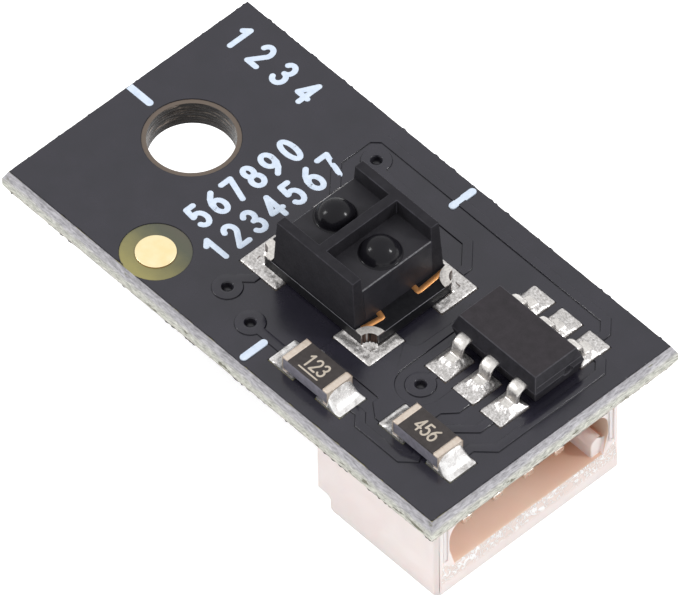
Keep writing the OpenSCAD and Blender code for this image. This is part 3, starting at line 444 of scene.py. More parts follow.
def makeLaminate():
    rows = [0, -0.03, -0.08, -0.13, -0.18, -0.22, -0.251, -0.28, -0.31, -0.34, -0.37, -0.4, -0.43, -0.46,
            -0.489, -0.53, -0.58, -0.63, -0.68, -0.71, laminateBottom]
    mesh = bmesh.new()
    columns = []
    for start, along, inward, length, t in perimeterColumns():
        fade = min(1.0, min(t * length, (1 - t) * length) / 0.15)  # the corners stay sharp
        column = []
        for z in rows:
            inset = scoreInset(z)
            run = inset + t * (length - 2 * inset)
            x, y = (start[i] + along[i] * run + inward[i] * inset for i in (0, 1))
            push = edgePush(x, y, z) * fade
            column.append(mesh.verts.new(((x + inward[0] * push) * mm, (y + inward[1] * push) * mm, z * mm)))
        columns.append(column)
    for left, right in zip(columns, columns[1:] + columns[:1]):
        for r in range(len(rows) - 1):
            mesh.faces.new((left[r], right[r], right[r + 1], left[r + 1]))
    steps = laminate["drillSteps"]
    drilled = [0] + [-0.02 - 0.7 * k / steps for k in range(steps + 1)] + [laminateBottom]
    loops = [addHole(mesh, (0, 0), holeRadius, 96, drilled, laminate["drillRough"])]
    loops += [addHole(mesh, spot, viaRadius, 24, [0, laminateBottom], 0) for spot in viaSpots]
    for level, row in ((0, 0), (1, len(rows) - 1)):
        edges = []
        for loop in [[column[row] for column in columns]] + [pair[level] for pair in loops]:
            for a, b in zip(loop, loop[1:] + loop[:1]):
                edges.append(mesh.edges.get((a, b)) or mesh.edges.new((a, b)))
        bmesh.ops.triangle_fill(mesh, use_beauty=True, use_dissolve=False, edges=edges)
    bmesh.ops.recalc_face_normals(mesh, faces=mesh.faces)
    for face in mesh.faces:
        centre = face.calc_center_median() / mm
        flat = abs(face.normal.z) > 0.95
        inHole = math.hypot(centre.x, centre.y) < holeRadius * 1.1 and not flat
        # the hole's wall takes the drilled finish with its painted shade
        face.material_index = 2 if inHole else 1 if flat else 0
    evenNormals(makePiece(mesh, "laminate", "circuit_board", "laminate", ["laminate", "bare", "hole"], 40))


makeLaminate()
print("laminate made")

lacquer = {"edgeRound": 0.016, "footRise": 0.024, "borderStep": 0.07, "borderInset": 0.004,
           "borderWave": 0.022, "borderRagged": 0.02, "holeRing": 1.21, "cadHoleRing": 1.25}


def makeMask(node, name, up):
    mesh = cleanCopy(node)
    middle = [(a + b) / 2 for a, b in zip(maskLow, maskHigh)]
    half = [(b - a) / 2 for a, b in zip(maskLow, maskHigh)]

    def onBorder(point, axis):
        return abs(abs(point[axis] / mm - middle[axis]) - half[axis]) < 1e-3

    border = []
    for edge in mesh.edges:
        a, b = (v.co for v in edge.verts)
        straight = any(onBorder(a, axis) and onBorder(b, axis) for axis in (0, 1))
        if straight and edge.calc_length() > 0.2 * mm and abs(a.z - b.z) < 1e-4 * mm:
            border.append(edge)
    for edge in border:
        cuts = int(edge.calc_length() / (lacquer["borderStep"] * mm))
        bmesh.ops.subdivide_edges(mesh, edges=[edge], cuts=cuts)
    for vert in mesh.verts:
        x, y = vert.co.x / mm, vert.co.y / mm
        wave = lacquer["borderInset"] + lacquer["borderWave"] * noise.noise(Vector((x * 3.1, y * 3.1, 0.5)))
        wave += lacquer["borderRagged"] * noise.noise(Vector((x * 9, y * 9, 4)))
        atBorder = [onBorder(vert.co, axis) for axis in (0, 1)]
        if abs(math.hypot(x, y) - lacquer["cadHoleRing"]) < 0.05:
            vert.co.x, vert.co.y = (c * lacquer["holeRing"] / lacquer["cadHoleRing"] for c in vert.co.xy)
        for axis, place in enumerate((x, y)):
            if atBorder[axis]:
                vert.co[axis] -= math.copysign(max(0, wave), place - middle[axis]) * mm
    level = maskTop * mm if up else (laminateBottom - maskTop) * mm
    steep = []
    for edge in mesh.edges:
        high = [v.co.z >= level - 1e-7 if up else v.co.z <= level + 1e-7 for v in edge.verts]
        if all(high) and len(edge.link_faces) == 2 and edge.calc_face_angle(0) > math.radians(30):
            steep.append(edge)
    bmesh.ops.bevel(mesh, geom=steep, offset=lacquer["edgeRound"] * mm, segments=3, profile=0.5,
                    affect="EDGES", clamp_overlap=False)
    mesh.normal_update()
    for face in mesh.faces:
        rise = abs(face.calc_center_median().z - level)
        # faces at a ridge's foot take the darker lacquer, painted shade
        inFootShade = 1e-7 < rise < lacquer["footRise"] * mm and abs(face.normal.z) < 0.985
        face.material_index = 1 if inFootShade else 0
    piece = makePiece(mesh, name, node, "solder_mask", ["solder_mask", "maskFootShade"])
    evenNormals(piece)
    return piece.data


topData = makeMask("top_solder_mask", "topMask", True)
makeMask("bottom_solder_mask", "bottomMask", False)
for node in ("top_copper", "bottom_copper", "via_barrels"):
    softCopy(node, "copper", 0, finishes=["brownedCopper"])
print("mask and copper made")

boardPrint = {"pen": 0.15, "height": 0.012, "tick": 0.2, "tickLevel": 0.05, "softness": 0.035,
              "lines": [("1234", (-1.68, 2.62), (1, 0), 0.68, 0.79),
                        ("567890", (2.24, -1.70), (0, 1), 0.66, 0.595),
                        ("1234567", (3.28, -2.10), (0, 1), 0.68, 0.628)]}
topMap = BVHTree.FromPolygons([v.co for v in topData.vertices], [p.vertices for p in topData.polygons])


def drape(x, y):
    # ink lies over the mask's ridges in a soft slope
    total, step = 0, boardPrint["softness"]
    for i in range(-2, 3):
        for j in range(-2, 3):
            above = (x + i * step) * mm, (y + j * step) * mm, 1 * mm
            hit = topMap.ray_cast(above, (0, 0, -1))[0]
            total += max(maskTop, hit.z / mm) if hit else maskTop
    return total / 25


def arc(cx, cy, rx, ry, start, end, steps=14):
    angles = [math.radians(start + (end - start) * k / steps) for k in range(steps + 1)]
    return [(cx + rx * math.cos(a), cy + ry * math.sin(a)) for a in angles]


digitWide = 0.85  # the figures' width against their height
digitStrokes = {  # plain figures in a box one high, drawn as pen strokes
    "0": [arc(0.29, 0.5, 0.25, 0.5, 0, 360, 28)],
    "1": [[(0.1, 0.8), (0.34, 1)], [(0.34, 1), (0.34, 0)]],
    "2": [arc(0.28, 0.73, 0.25, 0.27, 165, -30) + [(0.03, 0)], [(0.03, 0), (0.56, 0)]],
    "3": [arc(0.27, 0.76, 0.23, 0.24, 155, -90), arc(0.27, 0.26, 0.27, 0.26, 90, -155)],
    "4": [[(0.42, 0), (0.42, 1)], [(0.42, 1), (0, 0.3)], [(0, 0.3), (0.58, 0.3)]],
    "5": [[(0.5, 1), (0.12, 1)], [(0.12, 1), (0.07, 0.56)], arc(0.28, 0.32, 0.27, 0.32, 130, -150)],
    "6": [arc(0.29, 0.31, 0.26, 0.31, 180, -180, 24), [(0.46, 1), (0.2, 0.78), (0.06, 0.55), (0.03, 0.31)]],
    "7": [[(0.02, 1), (0.54, 1)], [(0.54, 1), (0.18, 0)]],
    "8": [arc(0.28, 0.76, 0.21, 0.24, 0, 360, 24), arc(0.28, 0.27, 0.27, 0.27, 0, 360, 24)],
    "9": [arc(0.27, 0.69, 0.26, 0.31, 0, 360, 24), [(0.53, 0.69), (0.5, 0.45), (0.36, 0.22), (0.1, 0)]],
}


def addBead(shape, points, width, height, lift, squareStart=False):
    # one pen stroke: a low rounded bead along the points, on a level or on what lift(x, y) finds
    r = width / 2
    corners = [Vector(p) for p in points]
    dense = [corners[0]]
    for a, b in zip(corners, corners[1:]):
        count = max(1, int((b - a).length / (0.5 * r)))
        dense += [a + (b - a) * k / count for k in range(1, count + 1)]
    first, last = (dense[1] - dense[0]).normalized(), (dense[-1] - dense[-2]).normalized()
    turns = [math.radians(90 * k / 5) for k in range(1, 6)]
    rows = []
    if not squareStart:
        rows = [(dense[0] - first * r * math.sin(a), first, max(0.04, math.cos(a))) for a in reversed(turns)]
    for i, p in enumerate(dense):
        before, after = dense[max(0, i - 1)], dense[min(len(dense) - 1, i + 1)]
        rows.append((p, (after - before).normalized(), 1.0))
    rows += [(dense[-1] + last * r * math.sin(a), last, max(0.04, math.cos(a))) for a in turns]
    rings = []
    for p, d, share in rows:
        side = Vector((-d.y, d.x)) * r * share
        level = lift(p.x, p.y) if callable(lift) else lift
        crown = height * min(1, share * 1.6)
        ring = [(t, crown * (1 - abs(t) ** 3)) for t in (-1, -0.9, -0.6, 0, 0.6, 0.9, 1)]
        ring += [(t, -min(0.04, height * 3)) for t in (1, -1)]
        rings.append([(*(p + side * t), level + rise) for t, rise in ring])
    addRings(shape, rings)


def writeLine(shape, text, start, direction, tall, pitch, pen, height, lift):
    across = (-direction[1], direction[0])
    for i, figure in enumerate(text):
        for stroke in digitStrokes[figure]:
            points = []
            for u, v in stroke:
                along, up = i * pitch + u * tall * digitWide, v * tall
                points.append([start[k] + direction[k] * along + across[k] * up for k in (0, 1)])
            addBead(shape, points, pen, height, lift)


shape = [], []
for text, start, direction, tall, pitch in boardPrint["lines"]:
    writeLine(shape, text, start, direction, tall, pitch, boardPrint["pen"], boardPrint["height"], drape)
meshPiece("printedFigures", shape, None, "print")
shape = [], []
reach = boardPrint["tick"] / 2  # the round ends stand this far past the stroke's own points
addBead(shape, [(maskLow[0] + 0.03, 0), (-1.39 - reach, 0)], boardPrint["tick"], boardPrint["height"], drape,
        True)
for side in (-1, 1):
    addBead(shape, [(sensorX, side * (3.81 - reach)), (sensorX, side * (2.97 + reach))], boardPrint["tick"],
            boardPrint["height"], boardPrint["tickLevel"])
meshPiece("printedTicks", shape, "silkscreen_ticks", "print")
print("print made")


def revolve(name, profile, centre, replaced, slot, count=96, angle=80, finishes=None):
    shape = [], []
    addRings(shape, [[(centre[0] + r * math.cos(a), centre[1] + r * math.sin(a), z) for a in turnsOf(count)]
                     for r, z in profile])
    return meshPiece(name, shape, replaced, slot, angle, finishes)


via = {"profile": [(0.2, -0.18), (0.24, 0.03), (0.24, 0.054), (0.2, 0.058), (0.16, 0.05), (0.14, 0.03),
                   (0.132, 0.0), (0.126, -0.09), (0.11, -0.12), (0.085, -0.135), (0.06, -0.14),
                   (0.03, -0.143), (0.005, -0.144)],
       "mouth": 0.145, "litSpot": (-0.01, 0.03), "litRadius": 0.06}
disc = revolve("goldDisc", [(0.5, 0.0), (0.5, 0.028), (0.494, 0.033), (0.483, 0.035)], fiducialSpot,
               "fiducial", "gold", 96, 35, ["gold", "copper"])
for polygon in disc.data.polygons:
    polygon.material_index = 1 if abs(polygon.normal.z) < 0.3 else 0  # its etched side stays copper
for i, spot in enumerate(viaSpots):
    plug = revolve("viaPlug%d" % (i + 1), via["profile"], spot, None, "solder_mask", 32, 80,
                   ["solder_mask", "viaHole"])
    for polygon in plug.data.polygons:
        u, v = (polygon.center[k] / mm - spot[k] for k in (0, 1))
        # one spot of the dimple keeps the glossy lacquer as a painted highlight
        lit = math.hypot(u - via["litSpot"][0], v - via["litSpot"][1]) < via["litRadius"]
        polygon.material_index = 1 if math.hypot(u, v) < via["mouth"] and not lit else 0

sensor = {"sawEdge": 0.012, "mouldEdge": 0.018, "domeRadius": 0.5, "domeCentre": 1.445, "blockTop": 1.515,
          "pitch": 1.56,
          "footRing": [(0.55, -0.06), (0.55, 0.0002), (0.53, 0.003), (0.513, 0.012), (0.499, 0.03)],
          "traceWidth": 0.15, "traceHeight": 0.022, "traceLevel": 0.435,
          "traces": [[(1.52, -1.3), (1.6, -0.72), (1.35, -0.66)], [(1.54, 1.4), (1.61, 0.44), (1.34, 0.48)]]}
# the rounded edges take the paler painted highlight
softCopy("sensor_substrate", "substrate", sensor["sawEdge"], finishes=["substrate", "sawnEdgeHighlight"], edgeFinish=1)
for i in range(1, 5):
    softCopy("sensor_terminal_%d" % i, "terminal", 0, finishes=["terminal", "castellation"],
             finishOf=lambda normal: 0 if abs(normal.z) > 0.5 else 1)
shape = [], []
for mirror in (-1, 1):
    for line in sensor["traces"]:
        addBead(shape, [(sensorX + mirror * u, v) for u, v in line], sensor["traceWidth"],
                sensor["traceHeight"], sensor["traceLevel"], True)
meshPiece("sensorTraces", shape, "sensor_traces", "copper")
# the rounded edges take the lighter painted highlight
softCopy("sensor_housing", "shell", sensor["mouldEdge"], 3, ["shell", "shellEdgeHighlight"], edgeFinish=1)
softCopy("emitter_die", "silicon", 0)
softCopy("detector_die", "silicon", 0)


def splitAt(mesh, height, clear=False):
    bmesh.ops.bisect_plane(mesh, geom=mesh.verts[:] + mesh.edges[:] + mesh.faces[:], plane_co=(0, 0, height),
                           plane_no=(0, 0, 1), clear_outer=clear)


def makeLens(node, name, x):
    # the block keeps its CAD shape up to its top; the dome is turned anew with a small foot
    mesh = cleanCopy(node)
    top, r, c = sensor["blockTop"], sensor["domeRadius"], sensor["domeCentre"]
    splitAt(mesh, top * mm + 1e-7, True)
    rim = [e for e in mesh.edges if e.is_boundary]
    bmesh.ops.triangle_fill(mesh, use_beauty=True, use_dissolve=True, edges=rim)
    bmesh.ops.recalc_face_normals(mesh, faces=mesh.faces)
    block = makePiece(mesh, name + "Block", node, "epoxy", ["epoxy", "epoxyCut", "epoxyEdge"], 30)
    for polygon in block.data.polygons:
        slope = abs(polygon.normal.z)
        # the slanted edge faces take the bright hairline, a painted highlight
        polygon.material_index = 0 if slope > 0.95 else 2 if slope > 0.3 else 1
    profile = [(ringRadius, top + z) for ringRadius, z in sensor["footRing"]]
    profile += arc(0, c, r, r, 14.4, 90, 21)
    revolve(name + "Dome", profile, (x, 0), None, "epoxy", finishes=["dome"])


makeLens("emitter_lens", "emitter", sensorX - sensor["pitch"] / 2)
makeLens("detector_lens", "detector", sensorX + sensor["pitch"] / 2)
print("sensor made")

chip = {"edge": 0.02, "seamLine": 0.69, "seamX": 1.404, "seamHalf": 0.72, "seamRadius": 0.014,
        "leadWidth": 0.4, "leadThick": 0.15, "boxiness": 3.0, "bend": [0.2, 0.13],
        "path": [(0.64, 0.55), (1.0, 0.55), (1.09, 0.15), (1.4, 0.1)]}
# the sides take the darker painted shade, the rounded edges the lighter painted highlight
softCopy("ic_body", "chip_body", chip["edge"], finishes=["chip_body", "chipSide", "chipEdge"],
         finishOf=lambda normal: 0 if normal.z > 0.9 else 1, edgeFinish=2)


def roundedPath(points, radii, steps=9):
    # a polyline in (v, z) with its inner corners turned into arcs
    path = [Vector(points[0])]
    for before, corner, after, radius in zip(points, points[1:], points[2:], radii):
        a, b, c = Vector(before), Vector(corner), Vector(after)
        u, w = (a - b).normalized(), (c - b).normalized()
        half = math.acos(max(-1, min(1, u.dot(w)))) / 2
        start = b + u * (radius / math.tan(half))
        centre = b + (u + w).normalized() * (radius / math.sin(half))
        first, sweep = start - centre, math.pi - 2 * half
        sign = 1 if first.x * u.y - first.y * u.x < 0 else -1
        path += [centre + Matrix.Rotation(sign * sweep * k / steps, 2) @ first for k in range(steps + 1)]
    return path + [Vector(points[-1])]


def makeLead(i):
    # a formed gull-wing lead: one rounded strip swept along its bends
    side, column = (-1, -1, -1, 1, 1, 1)[i], (-1, 0, 1, 1, 0, -1)[i]
    path, power = roundedPath(chip["path"], chip["bend"]), 2 / chip["boxiness"]
    rings = []
    for k, p in enumerate(path):
        tangent = (path[min(k + 1, len(path) - 1)] - path[max(k - 1, 0)]).normalized()
        ring = []
        for a in turnsOf(28):
            c, s = math.cos(a), math.sin(a)
            across = chip["leadWidth"] / 2 * math.copysign(abs(c) ** power, c)
            thick = chip["leadThick"] / 2 * math.copysign(abs(s) ** power, s)
            v, z = p.x - tangent.y * thick, p.y + tangent.x * thick
            ring.append((chipSpot[0] + column * leadPitch + across, chipSpot[1] + side * v, z))
        rings.append(ring)
    shape = [], []
    addRings(shape, rings)
    lead = meshPiece("chipLead%d" % (i + 1), shape, "ic_lead_%d" % (i + 1), "tinned_lead", 60,
                     ["tinned_lead", "leadEnd"])
    lead.data.polygons[len(lead.data.polygons) - 1].material_index = 1


for i in range(6):
    makeLead(i)
shape = [], []
for side in (-1, 1):
    # the mould's parting line, a thin rod let into each end of the body
    x, r = chipSpot[0] + side * chip["seamX"], chip["seamRadius"]
    addRings(shape, [[(x - r * math.cos(a), chipSpot[1] + end, chip["seamLine"] + r * math.sin(a))
                      for a in turnsOf(10)] for end in (-chip["seamHalf"], chip["seamHalf"])])
# the parting line takes the lighter painted highlight
meshPiece("chipSeam", shape, None, "chip_body", 60, ["chipEdge"])

resistor = {"top": 0.527, "texts": ("123", "456"), "figureTall": 0.37, "figurePitch": 0.235, "pen": 0.055,
            "inkHeight": 0.004, "capTrim": 0.045,
            "parts": [("body", "ceramic", 0.02, 2), ("coat", "coat", 0.01, 2), ("cap_left", "cap", 0.036, 4),
                      ("cap_right", "cap", 0.036, 4)]}
for i, (x, y) in enumerate(resistorSpots):
    for part, *finish in resistor["parts"]:
        for vert in softCopy("resistor_%d_%s" % (i + 1, part), *finish).data.vertices:
            fromMiddle = vert.co.x - x * mm
            if part != "body" and 0.53 * mm < abs(fromMiddle) < 0.56 * mm:
                # where coat and cap meet: the caps are a little narrower on top
                vert.co.x += math.copysign(resistor["capTrim"] * mm, fromMiddle)
    shape = [], []
    writeLine(shape, resistor["texts"][i], (x - 0.33, y - 0.19), (1, 0), resistor["figureTall"],
              resistor["figurePitch"], resistor["pen"], resistor["inkHeight"], resistor["top"])
    if i == 0:
        addBead(shape, [(x - 0.31, y - 0.3), (x + 0.31, y - 0.3)], resistor["pen"] * 0.8,
                resistor["inkHeight"], resistor["top"])
    meshPiece("resistor%dFigures" % (i + 1), shape, None, "coat", 60, ["figure"])
print("chip and resistors made")

connector = {"front": 12.1, "middleY": -0.33, "mouthBack": 8.7, "mouthHalf": 2.6, "mouthFloor": -2.915,
             "lipLine": -3.455, "cornerStart": -1.95, "cornerEnd": -1.71, "roofLift": 2.2,
             "wallAtFloor": 2.41, "wallAbove": 0.166, "waistRise": 0.657, "edge": 0.035, "slotY": 2.7,
             "slotTop": -0.9, "slotFoot": -2.6, "slotFill": 0.052, "ribBack": 11.86, "ribFront": 12.07}


def makeConnector():
    middleY, front, lipLine, corner = (connector[k] for k in ("middleY", "front", "lipLine", "cornerStart"))
    mesh = cleanCopy("connector_housing", False)
    pressed = []
    for vert in mesh.verts:
        x, y, z = vert.co / mm
        inMouth = x > connector["mouthBack"]
        if inMouth and abs(y - middleY) < connector["mouthHalf"] and corner < z < connector["cornerEnd"]:
            # the mouth's roof is lifted clear of the view under the board's edge
            vert.co.z = (corner + (z - corner) * connector["roofLift"]) * mm
        if inMouth and x < front - 0.05 and -2.95 < y < -2.4 and -2.93 < z < -2.3:
            # the left key is pressed flat against the wall there
            share = min(1, (z - connector["mouthFloor"]) / connector["waistRise"])
            wall = connector["wallAtFloor"] + connector["wallAbove"] * share
            vert.co.y = min(vert.co.y, (middleY - wall) * mm)
            pressed.append(vert)
    bmesh.ops.remove_doubles(mesh, verts=pressed, dist=0.012 * mm)
    splitAt(mesh, lipLine * mm)
    for face in mesh.faces:
        x, y, z = face.calc_center_median() / mm
        inside = (connector["mouthBack"] < x < front - 0.005 and abs(y - middleY) < connector["mouthHalf"]
                  and -2.93 < z < -1.4)
        onKey = inside and x > 9 and 1.78 < y < 2.14 and -2.91 < z < -2.34
        onLip = x > front - 0.005 and face.normal.x > 0.9 and lipLine < z < -2.9
        # the mouth's inner faces take the painted-shade nylon, the key and the outside the plain nylon
        face.material_index = 0 if onKey else 1 if inside else 2 if onLip else 0
    piece = makePiece(mesh, "connectorHousing", "connector_housing", "nylon",
                      ["nylon", "nylonShadedInside", "frost"])
    roundEdges(piece, connector["edge"], 3)


makeConnector()
for side, name in ((-1, "slotRibLeft"), (1, "slotRibRight")):
    # the hold-down tab's slot shows as a thin line in the photo, so a rib fills most of its front end
    y, h = connector["middleY"] + side * connector["slotY"], connector["slotFill"]
    corners = [(x, y + j * h, z) for x in (connector["ribBack"], connector["ribFront"]) for j in (-1, 1)
               for z in (connector["slotFoot"], connector["slotTop"])]
    sides = [(0, 1, 3, 2), (4, 6, 7, 5), (0, 4, 5, 1), (2, 3, 7, 6), (0, 2, 6, 4), (1, 5, 7, 3)]
    meshPiece(name, (corners, sides), None, "nylon", 35)
for i in range(1, 5):
    softCopy("contact_%d" % i, "contact_metal")
for i in (1, 2):
    softCopy("solder_tab_%d" % i, "terminal")
print("connector made")

solder = {"step": 0.024, "film": 0.03, "lump": 0.009, "corner": 0.04, "overhang": 0.03, "swell": 0.035}
# each pad's distance from its part's middle, its size and what its joint needs, in mm
sensorPad = {"away": (1.62, 1.18), "size": (1.2, 1.1), "corner": (1.96, 1.47), "notch": 0.27, "skin": 0.02}
chipPad = {"away": 1.315, "size": (0.65, 0.88), "footHalf": 0.16, "footIn": 0.28, "footOut": 0.05,
           "spread": 0.13}
resistorPad = {"away": 0.81, "size": (0.78, 0.8), "partHalf": 0.8, "reach": 0.37, "climb": 0.42}
pinPad = {"x": 7.525, "firstY": -1.83, "size": (1.55, 0.6), "tail": (-0.625, 0.9, -0.15, 0.15)}
tabPad = {"x": 11.4, "away": 2.8, "size": (1.8, 1.2), "tab": (-0.8, 0.4, -0.4, 0.54)}


def addPad(shape, centre, size, rise, seed, up=True, lump=1.0):
    # one pad's solder as a closed sheet; rise(u, v) is its height, with u and v from the pad's centre
    verts, faces = shape
    halfL, halfW = size[0] / 2 + solder["overhang"], size[1] / 2 + solder["overhang"]
    nu, nv = (max(8, round(2 * h / solder["step"])) for h in (halfL, halfW))
    r = solder["corner"]
    sign, ground = (1, 0.0) if up else (-1, laminateBottom)
    base = len(verts)
    for i in range(nu + 1):
        for j in range(nv + 1):
            u, v = -halfL + 2 * halfL * i / nu, -halfW + 2 * halfW * j / nv
            gap = min(halfL - abs(u), halfW - abs(v))
            a, b = max(0.0, abs(u) - halfL + r) / r, max(0.0, abs(v) - halfW + r) / r
            if a and b:  # the square corner is drawn in to a round one
                u = math.copysign(halfL - r + r * a * math.sqrt(1 - b * b / 2), u)
                v = math.copysign(halfW - r + r * b * math.sqrt(1 - a * a / 2), v)
            lumps = noise.fractal(Vector((u * 7 + seed, v * 7, seed * 1.7)), 0.7, 2.2, 3)
            swell = 1 - math.exp(-gap / solder["swell"])
            h = rise(u, v)
            if h is None:  # under a soldered part
                h = solder["film"] - 0.001
            else:
                h = solder["film"] * 0.4 + (h + solder["lump"] * lump * (0.6 + lumps)) * swell
            verts.append((centre[0] + u, centre[1] + v, ground + sign * (copperTop + max(0.004, h))))
    rim = [i * (nv + 1) for i in range(nu + 1)] + [nu * (nv + 1) + j for j in range(1, nv + 1)]
    rim += [i * (nv + 1) + nv for i in range(nu - 1, -1, -1)] + list(range(nv - 1, 0, -1))
    for i in range(nu):
        for j in range(nv):
            k = base + i * (nv + 1) + j
            faces.append((k, k + nv + 1, k + nv + 2, k + 1))
    skirt = len(verts)
    verts.extend([(*verts[base + k][:2], ground) for k in rim])
    for k in range(len(rim)):
        n = (k + 1) % len(rim)
        faces.append((base + rim[k], skirt + k, skirt + n, base + rim[n]))
    faces.append(tuple(skirt + k for k in range(len(rim))))


def footRise(box, height, spread):
    # a fillet that leans on a flat foot on all sides
    def rise(u, v):
        d = math.hypot(max(box[0] - u, 0, u - box[1]), max(box[2] - v, 0, v - box[3]))
        return None if d == 0 else solder["film"] * 0.5 + height * math.exp(-(d / spread) ** 1.2)
    return rise


def cornerRise(side):
    # solder at a sensor corner: it climbs the plated notch and thins towards the pad's ends
    cornerU, cornerV = (side[k] * (sensorPad["corner"][k] - sensorPad["away"][k]) for k in (0, 1))
    notch, skin = sensorPad["notch"], sensorPad["skin"]

    def rise(u, v):
        a, b = (u - cornerU) * side[0], (v - cornerV) * side[1]  # both grow away from the substrate
        d = math.hypot(a, b)
        if a < 0 and b < 0:
            return None if d > notch + 0.005 else skin + 0.09 * math.exp(-(max(notch - d, 0) / 0.1) ** 1.1)
        fromWall = notch + math.hypot(max(a, 0), max(b, 0)) * 0.8
        beside = max(-min(a, b) - 0.1, 0)
        climb = 0.1 * math.exp(-(fromWall / 0.16) ** 1.1) * math.exp(-(beside / 0.12) ** 2)
        return skin + climb + 0.03 * math.exp(-max(a, b) / 0.08)
    return rise


def endRise(side):
    # a concave mound from the pad's outer end up a resistor's cap
    def rise(u, v):
        d = side * u + resistorPad["away"] - resistorPad["partHalf"]
        if d < -0.02:
            return None
        run = min(1.0, max(0.0, d) / resistorPad["reach"])
        narrow = 1 - 0.35 * (abs(v) / 0.4) ** 3
        return 0.015 + resistorPad["climb"] * narrow * (1 - math.sin(math.pi / 2 * run)) ** 1.1
    return rise


shape = [], []
for k, side in enumerate([(-1, -1), (1, -1), (1, 1), (-1, 1)]):
    spot = sensorX + side[0] * sensorPad["away"][0], side[1] * sensorPad["away"][1]
    addPad(shape, spot, sensorPad["size"], cornerRise(side), k * 3.1 + 1)
meshPiece("sensorSolder", shape, "sensor_solder", "solder", 50)
shape = [], []
for k in range(6):
    column, side = k % 3 - 1, -1 if k < 3 else 1
    footLow, footHigh = sorted((-side * chipPad["footIn"], side * chipPad["footOut"]))
    rise = footRise((-chipPad["footHalf"], chipPad["footHalf"], footLow, footHigh), 0.15 if side < 0 else 0.1,
                    chipPad["spread"])
    spot = chipSpot[0] + column * leadPitch, chipSpot[1] + side * chipPad["away"]
    addPad(shape, spot, chipPad["size"], rise, k * 2.3 + 20, lump=1.6 if side < 0 else 2.4)
meshPiece("chipSolder", shape, "ic_solder", "solder", 50)
for i, (x, y) in enumerate(resistorSpots):
    shape = [], []
    for side in (-1, 1):
        addPad(shape, (x + side * resistorPad["away"], y), resistorPad["size"], endRise(side),
               i * 5.3 + side * 2 + 40, lump=0.5)
    meshPiece("resistor%dSolder" % (i + 1), shape, "resistor_%d_solder" % (i + 1), "solder", 50,
              ["smoothSolder"])
shape = [], []
for k in range(4):
    addPad(shape, (pinPad["x"], pinPad["firstY"] + k), pinPad["size"], footRise(pinPad["tail"], 0.1, 0.09),
           k * 2.9 + 60, False)
for side in (-1, 1):
    back, tip, inner, outer = tabPad["tab"]
    box = (back, tip, inner, outer) if side > 0 else (back, tip, -outer, -inner)
    addPad(shape, (tabPad["x"], connector["middleY"] + side * tabPad["away"]), tabPad["size"],
           footRise(box, 0.08, 0.1), side * 4.1 + 80, False)
meshPiece("connectorSolder", shape, "connector_solder", "solder", 50)
print("solder made")

# radiance 1 is as bright as the white background; azimuth 0 is in front at -Y and 90 at +X
studio = {"floorZ": -3.755, "floorSize": 600, "horizon": 0.5, "zenith": 1.5, "floorGlow": 0.6, "lens": 892.9,
          "lampTarget": (5, 0, 0), "lampDistance": 260,  # then each lamp's azimuth, elevation, size, radiance
          "lamps": [("leftSoftbox", 311, 34, (50, 72), 16), ("rightStrip", 131, 35, (30, 50), 50)]}
shot = {"target": (6.098, -0.833, 0.02), "azimuth": 47.626, "elevation": 50.535, "distance": 400,
        "roll": -0.784}


def seenRays(tree):
    # 1 for rays that should meet the white background: camera, mirror and glass rays
    rays = addNode(tree, "LightPath").outputs
    seen = rays["Is Camera Ray"]
    for kind in ("Is Glossy Ray", "Is Transmission Ray"):
        seen = addNode(tree, "Math", links={0: seen, 1: rays[kind]}, operation="MAXIMUM")
    return seen


def makeFloor():
    h, z = studio["floorSize"] * mm / 2, studio["floorZ"] * mm
    mesh = bpy.data.meshes.new("floor")
    mesh.from_pydata([(-h, -h, z), (h, -h, z), (h, h, z), (-h, h, z)], [], [(0, 1, 2, 3)])
    floor = addObject("floor", mesh)
    # a white paper sweep: matt, so the soft shadow under the object shows
    material, tree, _ = startMaterial("paperSweep", {
        "Roughness": 0.9, "Base Color": (0.82, 0.82, 0.82, 1), "Emission Color": (1, 1, 1, 1)})
    glow = addNode(tree, "Math", {1: studio["floorGlow"]}, {0: seenRays(tree)}, operation="MULTIPLY")
    join(tree, glow, tree.nodes["Principled BSDF"].inputs["Emission Strength"])
    mesh.materials.append(material)


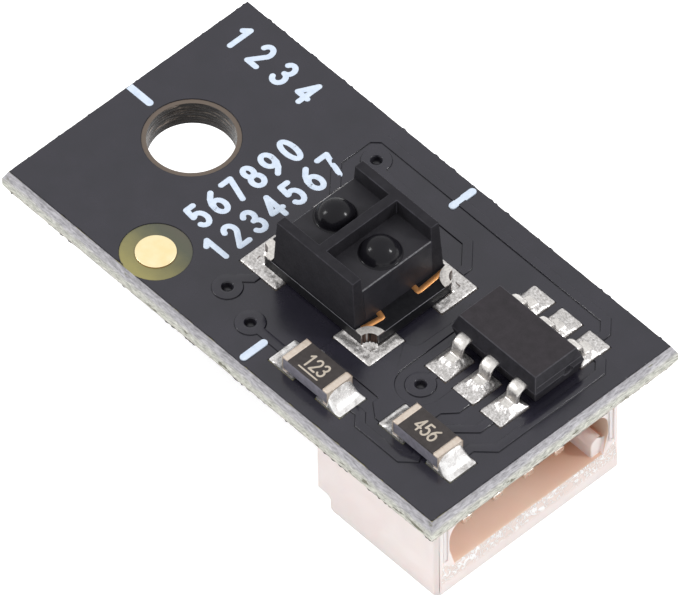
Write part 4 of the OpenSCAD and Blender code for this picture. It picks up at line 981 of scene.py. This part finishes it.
def makeWorld():
    # a wide soft light overhead, dimmer towards the sides
    world = bpy.data.worlds.new("studioWorld")
    bpy.context.scene.world = world
    world.use_nodes = True
    tree = world.node_tree
    tree.nodes.clear()
    direction = {"Vector": addNode(tree, "TexCoord").outputs["Generated"]}
    height = addNode(tree, "SeparateXYZ", links=direction).outputs["Z"]
    upward = addNode(tree, "Math", {1: 0.0}, {0: height}, operation="MAXIMUM")
    squared = addNode(tree, "Math", {1: 2.0}, {0: upward}, operation="POWER")
    tent = addNode(tree, "MapRange", {"To Min": studio["horizon"], "To Max": studio["zenith"]},
                   {"Value": squared})
    level = addNode(tree, "Mix", {3: 1.0}, {0: seenRays(tree), 2: tent}, data_type="FLOAT")
    sky = addNode(tree, "Background", {"Color": (1, 1, 1, 1)}, {"Strength": level})
    addNode(tree, "OutputWorld", links={"Surface": sky})


def aimed(name, data, target, azimuth, elevation, distance, roll=0):
    # a lamp or camera that looks at the target from this far off
    a, e = math.radians(azimuth), math.radians(elevation)
    back = Vector((math.sin(a) * math.cos(e), -math.cos(a) * math.cos(e), math.sin(e)))
    right, turn = Vector((math.cos(a), math.sin(a), 0)), math.radians(roll)
    up = back.cross(right)
    axes = [p * math.cos(turn) + q * math.sin(turn) for p, q in ((right, up), (up, -right))] + [back]
    place = Matrix.Translation(Vector(target) * mm + back * distance * mm)
    thing = addObject(name, data)
    thing.matrix_world = place @ Matrix(axes).transposed().to_4x4()
    return thing


def addLamp(name, azimuth, elevation, size, radiance):
    light = bpy.data.lights.new(name, "AREA")
    light.shape = "RECTANGLE"
    light.size, light.size_y = size[0] * mm, size[1] * mm
    light.energy = math.pi * radiance * light.size * light.size_y
    aimed(name, light, studio["lampTarget"], azimuth, elevation, studio["lampDistance"])


def makeCamera():
    data = bpy.data.cameras.new("camera")
    data.lens, data.sensor_width, data.sensor_fit = studio["lens"], 36, "HORIZONTAL"
    data.clip_start, data.clip_end = 0.01, 10
    bpy.context.scene.camera = aimed("camera", data, **shot)


makeFloor()
for lamp in studio["lamps"]:
    addLamp(*lamp)
makeWorld()
makeCamera()
bpy.context.scene.view_settings.view_transform = "Standard"
print("studio made")

bpy.context.view_layer.update()
